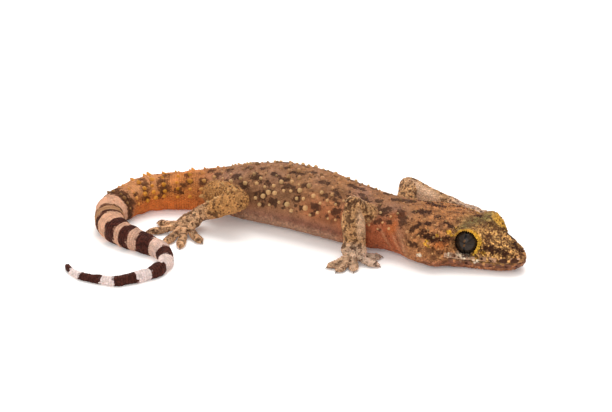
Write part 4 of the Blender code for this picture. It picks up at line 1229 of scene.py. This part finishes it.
# Toe plates: one row of wide scales over the top of each toe, like tiles.
TOE_PLATE_STEP, TOE_PLATE_WIDTH = 0.3, 0.22
rows = Places()
for _, _, toes in limb_parts():
    for toe in toes:
        path = curve_through(toe, 10)
        run = run_of(path[:, :3])
        for at in np.arange(0.28 * run[-1], 0.95 * run[-1], TOE_PLATE_STEP):
            x, y, z, half, thick = (float(np.interp(at, run, path[:, k])) for k in range(5))
            rows.put((x, y, z + thick), 1.0, half / TOE_PLATE_WIDTH)
rows.plant("toe_plates", shingle, 0.19, 0.09, 35, granule_finish)

# Tail scales: small flat scales in even rings, each ring overlapping the next.
TAIL_RING, TAIL_SCALE, FEWEST_ROUND = 0.36, 0.34, 6
rows = Places()
for k, arc in enumerate(np.arange(51.5, TAIL_END - 0.5, TAIL_RING)):
    girth = 2 * np.pi * float(table_at(TRUNK_SECTIONS, arc)[0][0]) * 1.05
    count = max(int(round(girth / TAIL_SCALE)), FEWEST_ROUND)
    angles = np.linspace(-180, 180, count, endpoint=False) + (180 / count) * (k % 2)
    for spot in trunk_skin(np.full(count, arc), angles):
        rows.put(spot, 1.0, min(girth / count / TAIL_SCALE, 1.0))
rows.plant("tail_scales", shingle, 0.2, 0.075, 33, hide_finish("flat_tail_scale", 1.0, 0.5, 0.2))

skin_finish = hide_finish("thin_reptile_skin", 0.8, 0.48, 0.5, 0.24)
flesh_nodes = [name for name in frame["nodes"] if not name.startswith("eye_")]
settle(skin, skin_finish, *flesh_nodes)

# Eyes: large glassy balls without lids, almost black, with an upright pupil that a few amber flecks edge.
EYE_FLECKS = ((0.03, 0.28), (-0.03, 0.18), (0.02, -0.1), (-0.02, -0.2))
# The last colour is painted shade for the ring where the ball meets the skin.
PUPIL, AMBER, EYE_EDGE_SHADE = "070504", "5e3a0c", "060403"
EYE_RINGS, EYE_SIDES = 60, 72


def eye_frame(side):
    """An eye's axis, the way across it and the way up it."""
    facing = eye_facing(side)
    aside = unit(np.cross(UP, facing))
    return facing, aside, np.cross(facing, aside)


def eye_finish():
    """A wet cornea over a dark, finely rayed iris, with painted shade round the ball's edge."""
    made = Finish("wet_cornea_over_dark_iris")
    across, up = made.fact("eye_across"), made.fact("eye_up")
    on_iris = add(made.tree, "ShaderNodeCombineXYZ", None, {0: across, 1: up}).outputs[0]
    radius = add(made.tree, "ShaderNodeVectorMath", {"operation": "LENGTH"}, {0: on_iris}).outputs["Value"]
    rayed = add(made.tree, "ShaderNodeVectorMath", {"operation": "NORMALIZE"}, {0: on_iris}).outputs[0]
    ray_place = add(made.tree, "ShaderNodeCombineXYZ", None, {0: across, 1: up, 2: radius}).outputs[0]
    ray_place = add(made.tree, "ShaderNodeMix", {"data_type": "VECTOR"}, {
        0: 0.12, 4: rayed, 5: ray_place}).outputs[1]
    rays = add(made.tree, "ShaderNodeTexNoise", None, {"Vector": ray_place, "Scale": 7.0, "Detail": 5.0})
    hue = made.between_tones(rays.outputs["Fac"], "1c1510", "3a2d22", 0.35, 0.72)
    hue = made.mix(made.step(0.12, 0.05, made.maths("ABSOLUTE", across)), hue, colour(PUPIL))
    for fleck in EYE_FLECKS:
        away = add(made.tree, "ShaderNodeVectorMath", {"operation": "DISTANCE"}, {
            0: on_iris, 1: (*fleck, 0.0)}).outputs["Value"]
        hue = made.mix(made.step(0.13, 0.03, away, 0.85), hue, colour(AMBER))
    # Painted shade: a near-black ring at the ball's edge, where it meets the skin.
    hue = made.mix(made.step(0.86, 0.97, radius), hue, colour(EYE_EDGE_SHADE))
    return made.surface(Base_Color=hue, Roughness=0.2, IOR=1.3)


wet_finish = eye_finish()
for side, name in ((-1, "eye_right"), (1, "eye_left")):
    facing, aside, upward = eye_frame(side)
    centre = brow_centre(side) + facing * EYE_OUT
    polar = np.radians(np.linspace(0.8, 179.2, EYE_RINGS))[:, None, None]
    turns = 2 * np.pi * np.arange(EYE_SIDES)[:, None] / EYE_SIDES
    rings = centre + EYE_RADIUS * (
        np.cos(polar) * facing + np.sin(polar) * (np.cos(turns) * aside + np.sin(turns) * upward))
    ball = joined(name + "_ball", [closed_loft(rings)])
    flat = (read_points(ball.data) - centre) / EYE_RADIUS
    keep_facts(ball.data, {"eye_across": flat @ aside, "eye_up": flat @ upward}, {})
    settle(ball, wet_finish, name, slot="eye")

# Rim scales: a ring of small golden scales that stands round each eye where other animals have lids.
RIM_ROWS = ((1.8, 34, 1.0), (2.08, 38, 0.9))
rows = Places()
for side in (-1, 1):
    facing, aside, upward = eye_frame(side)
    for ring, count, size in RIM_ROWS:
        depth = math.sqrt(max(BROW_RADIUS**2 - ring**2, 0.0)) + 0.1
        for turn in 2 * np.pi * np.arange(count) / count:
            out = np.cos(turn) * aside + np.sin(turn) * upward
            rows.put(brow_centre(side) + facing * depth + out * ring, size * (0.9 + 0.25 * max(out[2], 0.0)))
rows.plant("rim_scales", pebble, 0.16, 0.16, 34, granule_finish)

# Golden scales: a few raised, bright scales behind and in front of the eye, and whitish ones under it.
rows = Places()
for arc, angle, radius in (*GOLD_SPOTS, *WHITE_SPOTS):
    for side in (-1, 1):
        for turn in range(3):
            slip = radius * 0.6 * np.array([math.cos(turn * 2.1 + arc), math.sin(turn * 2.1 + arc)])
            rows.put(trunk_skin(arc + slip[0], side * (-angle + slip[1] * 14)), min(radius / 0.27, 1.3))
rows.plant("golden_scales", pebble, 0.17, 0.16, 36, granule_finish)

# Lip plates: nine larger plates along each upper lip and eight along each lower lip.
LIP_ROWS = (
    ((0.1, 1.35, 2.65, 3.95, 5.2, 6.35, 7.4, 8.4, 9.3, 10.1), 0.06, 0.85, 0.7),
    ((0.1, 1.0, 2.0, 3.1, 4.5, 5.9, 7.2, 8.4, 9.4), -0.06, -0.8, 0.35),
)


PLATE_ACROSS, PLATE_UP, PLATE_GAP, PLATE_RISE, PLATE_THICK = 7, 6, 0.05, 0.15, 0.3


def lip_plate(start, end, low, high, side):
    """A pillow-shaped plate on the skin between two distances and two heights from the mouth line."""
    stops = np.linspace(start + PLATE_GAP, end - PLATE_GAP, PLATE_ACROSS)
    a, b = np.meshgrid(stops, np.linspace(0, 1, PLATE_UP), indexing="ij")
    shape = (*a.shape, 3)
    height = table_at(MOUTH_HEIGHT, a.ravel())[:, 0] + low + (high - low) * b.ravel()
    on_skin = side_height_place(a.ravel(), height, side).reshape(shape)
    outward = unit(on_skin - place(a.ravel(), 0.0, height).reshape(shape))
    s, t = np.meshgrid(np.linspace(-1, 1, PLATE_ACROSS), np.linspace(-1, 1, PLATE_UP), indexing="ij")
    pillow = (1 - s**4) * (1 - t**4)
    top = on_skin + outward * (PLATE_RISE * np.sqrt(np.maximum(pillow, 0.0)) - 0.12 * (1 - pillow))[..., None]
    return top, top - outward * PLATE_THICK, ease(0.2, 0.75, (1 - s**2) * (1 - t**2))


def plate_faces():
    """Faces of a plate's top, underside and rim."""
    count = PLATE_ACROSS * PLATE_UP
    index = np.arange(count).reshape(PLATE_ACROSS, PLATE_UP)
    rim = np.concatenate([index[:-1, 0], index[-1, :-1], index[:0:-1, -1], index[0, :0:-1]])
    sheets = [np.stack([g[:-1, :-1], g[1:, :-1], g[1:, 1:], g[:-1, 1:]], -1).reshape(-1, 4)
              for g in (index, index[:, ::-1] + count)]
    wall = np.stack([rim, rim + count, np.roll(rim, -1) + count, np.roll(rim, -1)], -1)
    return np.vstack([*sheets, wall]).tolist()


plates, plate_facts = [], []
draw = np.random.default_rng(8)
for stops, low, high, darkness in LIP_ROWS:
    for side in (-1, 1):
        for start, end in zip(stops, stops[1:]):
            top, under, middle = lip_plate(start, end, low, high, side)
            plates.append((np.vstack([top.reshape(-1, 3), under.reshape(-1, 3)]), plate_faces()))
            dark = darkness * float(ease(9.0, 5.0, start)) * draw.uniform(0.55, 1.1)
            marks = np.tile(middle.ravel(), 2) * dark * 2.6 - 0.8
            own = np.tile([low > 0, *draw.uniform(size=2)], (len(marks), 1))
            plate_facts.append(np.column_stack([marks, own]))
lips = joined("lip_plates", plates)
lip_facts = describe(read_points(lips.data))
# The upper plates are cream with a dark middle, the lower ones mauve with a painted highlight, a pale line
# along the mouth. None is speckled like the skin round it.
marks, upper, first_draw, second_draw = np.vstack(plate_facts).T
none, below_mouth = 0 * marks, read_points(lips.data)[:, 2] - table_at(MOUTH_HEIGHT, lip_facts["arc"])[:, 0]
# The pale line just under the mouth on the lower plates is a painted highlight, a reflection along their top
# edge.
lip_facts.update(
    whitish=np.maximum(0.55 * hump(-0.1, 0.11, below_mouth), 0.9 * ease(5.0, 6.2, lip_facts["arc"]) * upper),
    marks=marks, pale_plate=upper, mauve_plate=1 - upper, first_draw=first_draw, second_draw=second_draw,
    speckle=none, socket=none, mottle=none + 0.3)
keep_facts(lips.data, lip_facts, {})
settle(lips, hide_finish("glossy_lip_plate", 1.0, 0.3, 0.15))

# Claws: short hooked points of dark horn on a last joint that rises from the pad.
CLAW_SECTIONS, CLAW_SIDES, CLAW_LENGTH, CLAW_POINT = 7, 8, 0.5, 0.012


def claw_rings():
    """Rings of every claw, from the toe's last joint down to the floor."""
    bend = np.linspace(0, 1, CLAW_SECTIONS)
    thin = (1 - bend) ** 0.7
    for _, _, toes in limb_parts():
        for toe in toes:
            tip = toe[-2, :3]
            ahead = unit(np.array([*(tip - toe[0, :3])[:2], 0.0]))
            rise = 0.08 * np.sin(bend * np.pi) - bend**1.6 * (tip[2] - 0.05)
            centres = tip + ahead * (bend * CLAW_LENGTH)[:, None] + np.array([0, 0, 1.0]) * rise[:, None]
            stations = np.column_stack([centres, 0.1 * thin + CLAW_POINT, 0.13 * thin + CLAW_POINT])
            yield tube_rings(stations, CLAW_SIDES, 2, UP, False)


claws = joined("claws", [closed_loft(rings) for rings in claw_rings()])
horn = Finish("dark_horn_claw")
streaks = horn.between_tones(horn.noise(horn.place(), 0.2, 2.0), "2a1c14", "7a5c44")
settle(claws, horn.surface(Base_Color=streaks, Roughness=0.3, IOR=1.54))

# The studio: a white floor under a broad soft light from above and behind, a weaker one in front, and the
# camera at the photo's angle.
LENS, SENSOR, DISTANCE = 140.0, 36.0, 0.35
LOOK_AT = Vector((0.0011, 0.0078, 0.0))
ELEVATION = math.radians(25.0)
WHITE, PAPER = (1.0, 1.0, 1.0, 1.0), (1.0, 0.965, 0.935, 1.0)
FLOOR_HALF, FLOOR_DROP = 3, -2e-5
# Lamps: where they hang, how wide they are, in metres, and their power.
LAMPS = {"overhead": ((0.05, 0.22, 0.55), 0.5, 2.7), "front_fill": ((-0.25, -0.6, 0.45), 0.6, 1.9)}
LAMPS_AIM = Vector((0, 0, 0.004))
corners = [(x * FLOOR_HALF, y * FLOOR_HALF, FLOOR_DROP) for x, y in ((-1, -1), (1, -1), (1, 1), (-1, 1))]
floor = mesh_object("floor", corners, [[0, 1, 2, 3]])
floor.data.materials.append(Finish("matt_white_paper").surface(
    Base_Color=PAPER, Roughness=0.9, Emission_Color=WHITE, Emission_Strength=0.1))

world = bpy.data.worlds.new("studio")
world.use_nodes = True
fill(world.node_tree, world.node_tree.nodes["Background"], {"Color": WHITE, "Strength": 0.7})
bpy.context.scene.world = world
for name, (spot, size, power) in LAMPS.items():
    lamp = bpy.data.lights.new(name, "AREA")
    lamp.shape, lamp.size, lamp.energy = "DISK", size, power
    holder = bpy.data.objects.new(name, lamp)
    holder.location = spot
    holder.rotation_euler = (LAMPS_AIM - Vector(spot)).to_track_quat("-Z", "Y").to_euler()
    bpy.context.scene.collection.objects.link(holder)

view = bpy.data.cameras.new("camera")
view.lens, view.sensor_width = LENS, SENSOR
view.clip_start, view.clip_end = 0.01, 20.0
camera = bpy.data.objects.new("camera", view)
camera.location = LOOK_AT + Vector((0, -math.cos(ELEVATION), math.sin(ELEVATION))) * DISTANCE
camera.rotation_euler = (math.pi / 2 - ELEVATION, 0, 0)
bpy.context.scene.collection.objects.link(camera)
bpy.context.scene.camera = camera
bpy.context.scene.view_settings.view_transform = "Standard"

for obj in list(bpy.data.objects):
    if obj.name in ("pebble", "shingle", "dome", "thorn") or obj.name.endswith("_places"):
        bpy.data.objects.remove(obj)
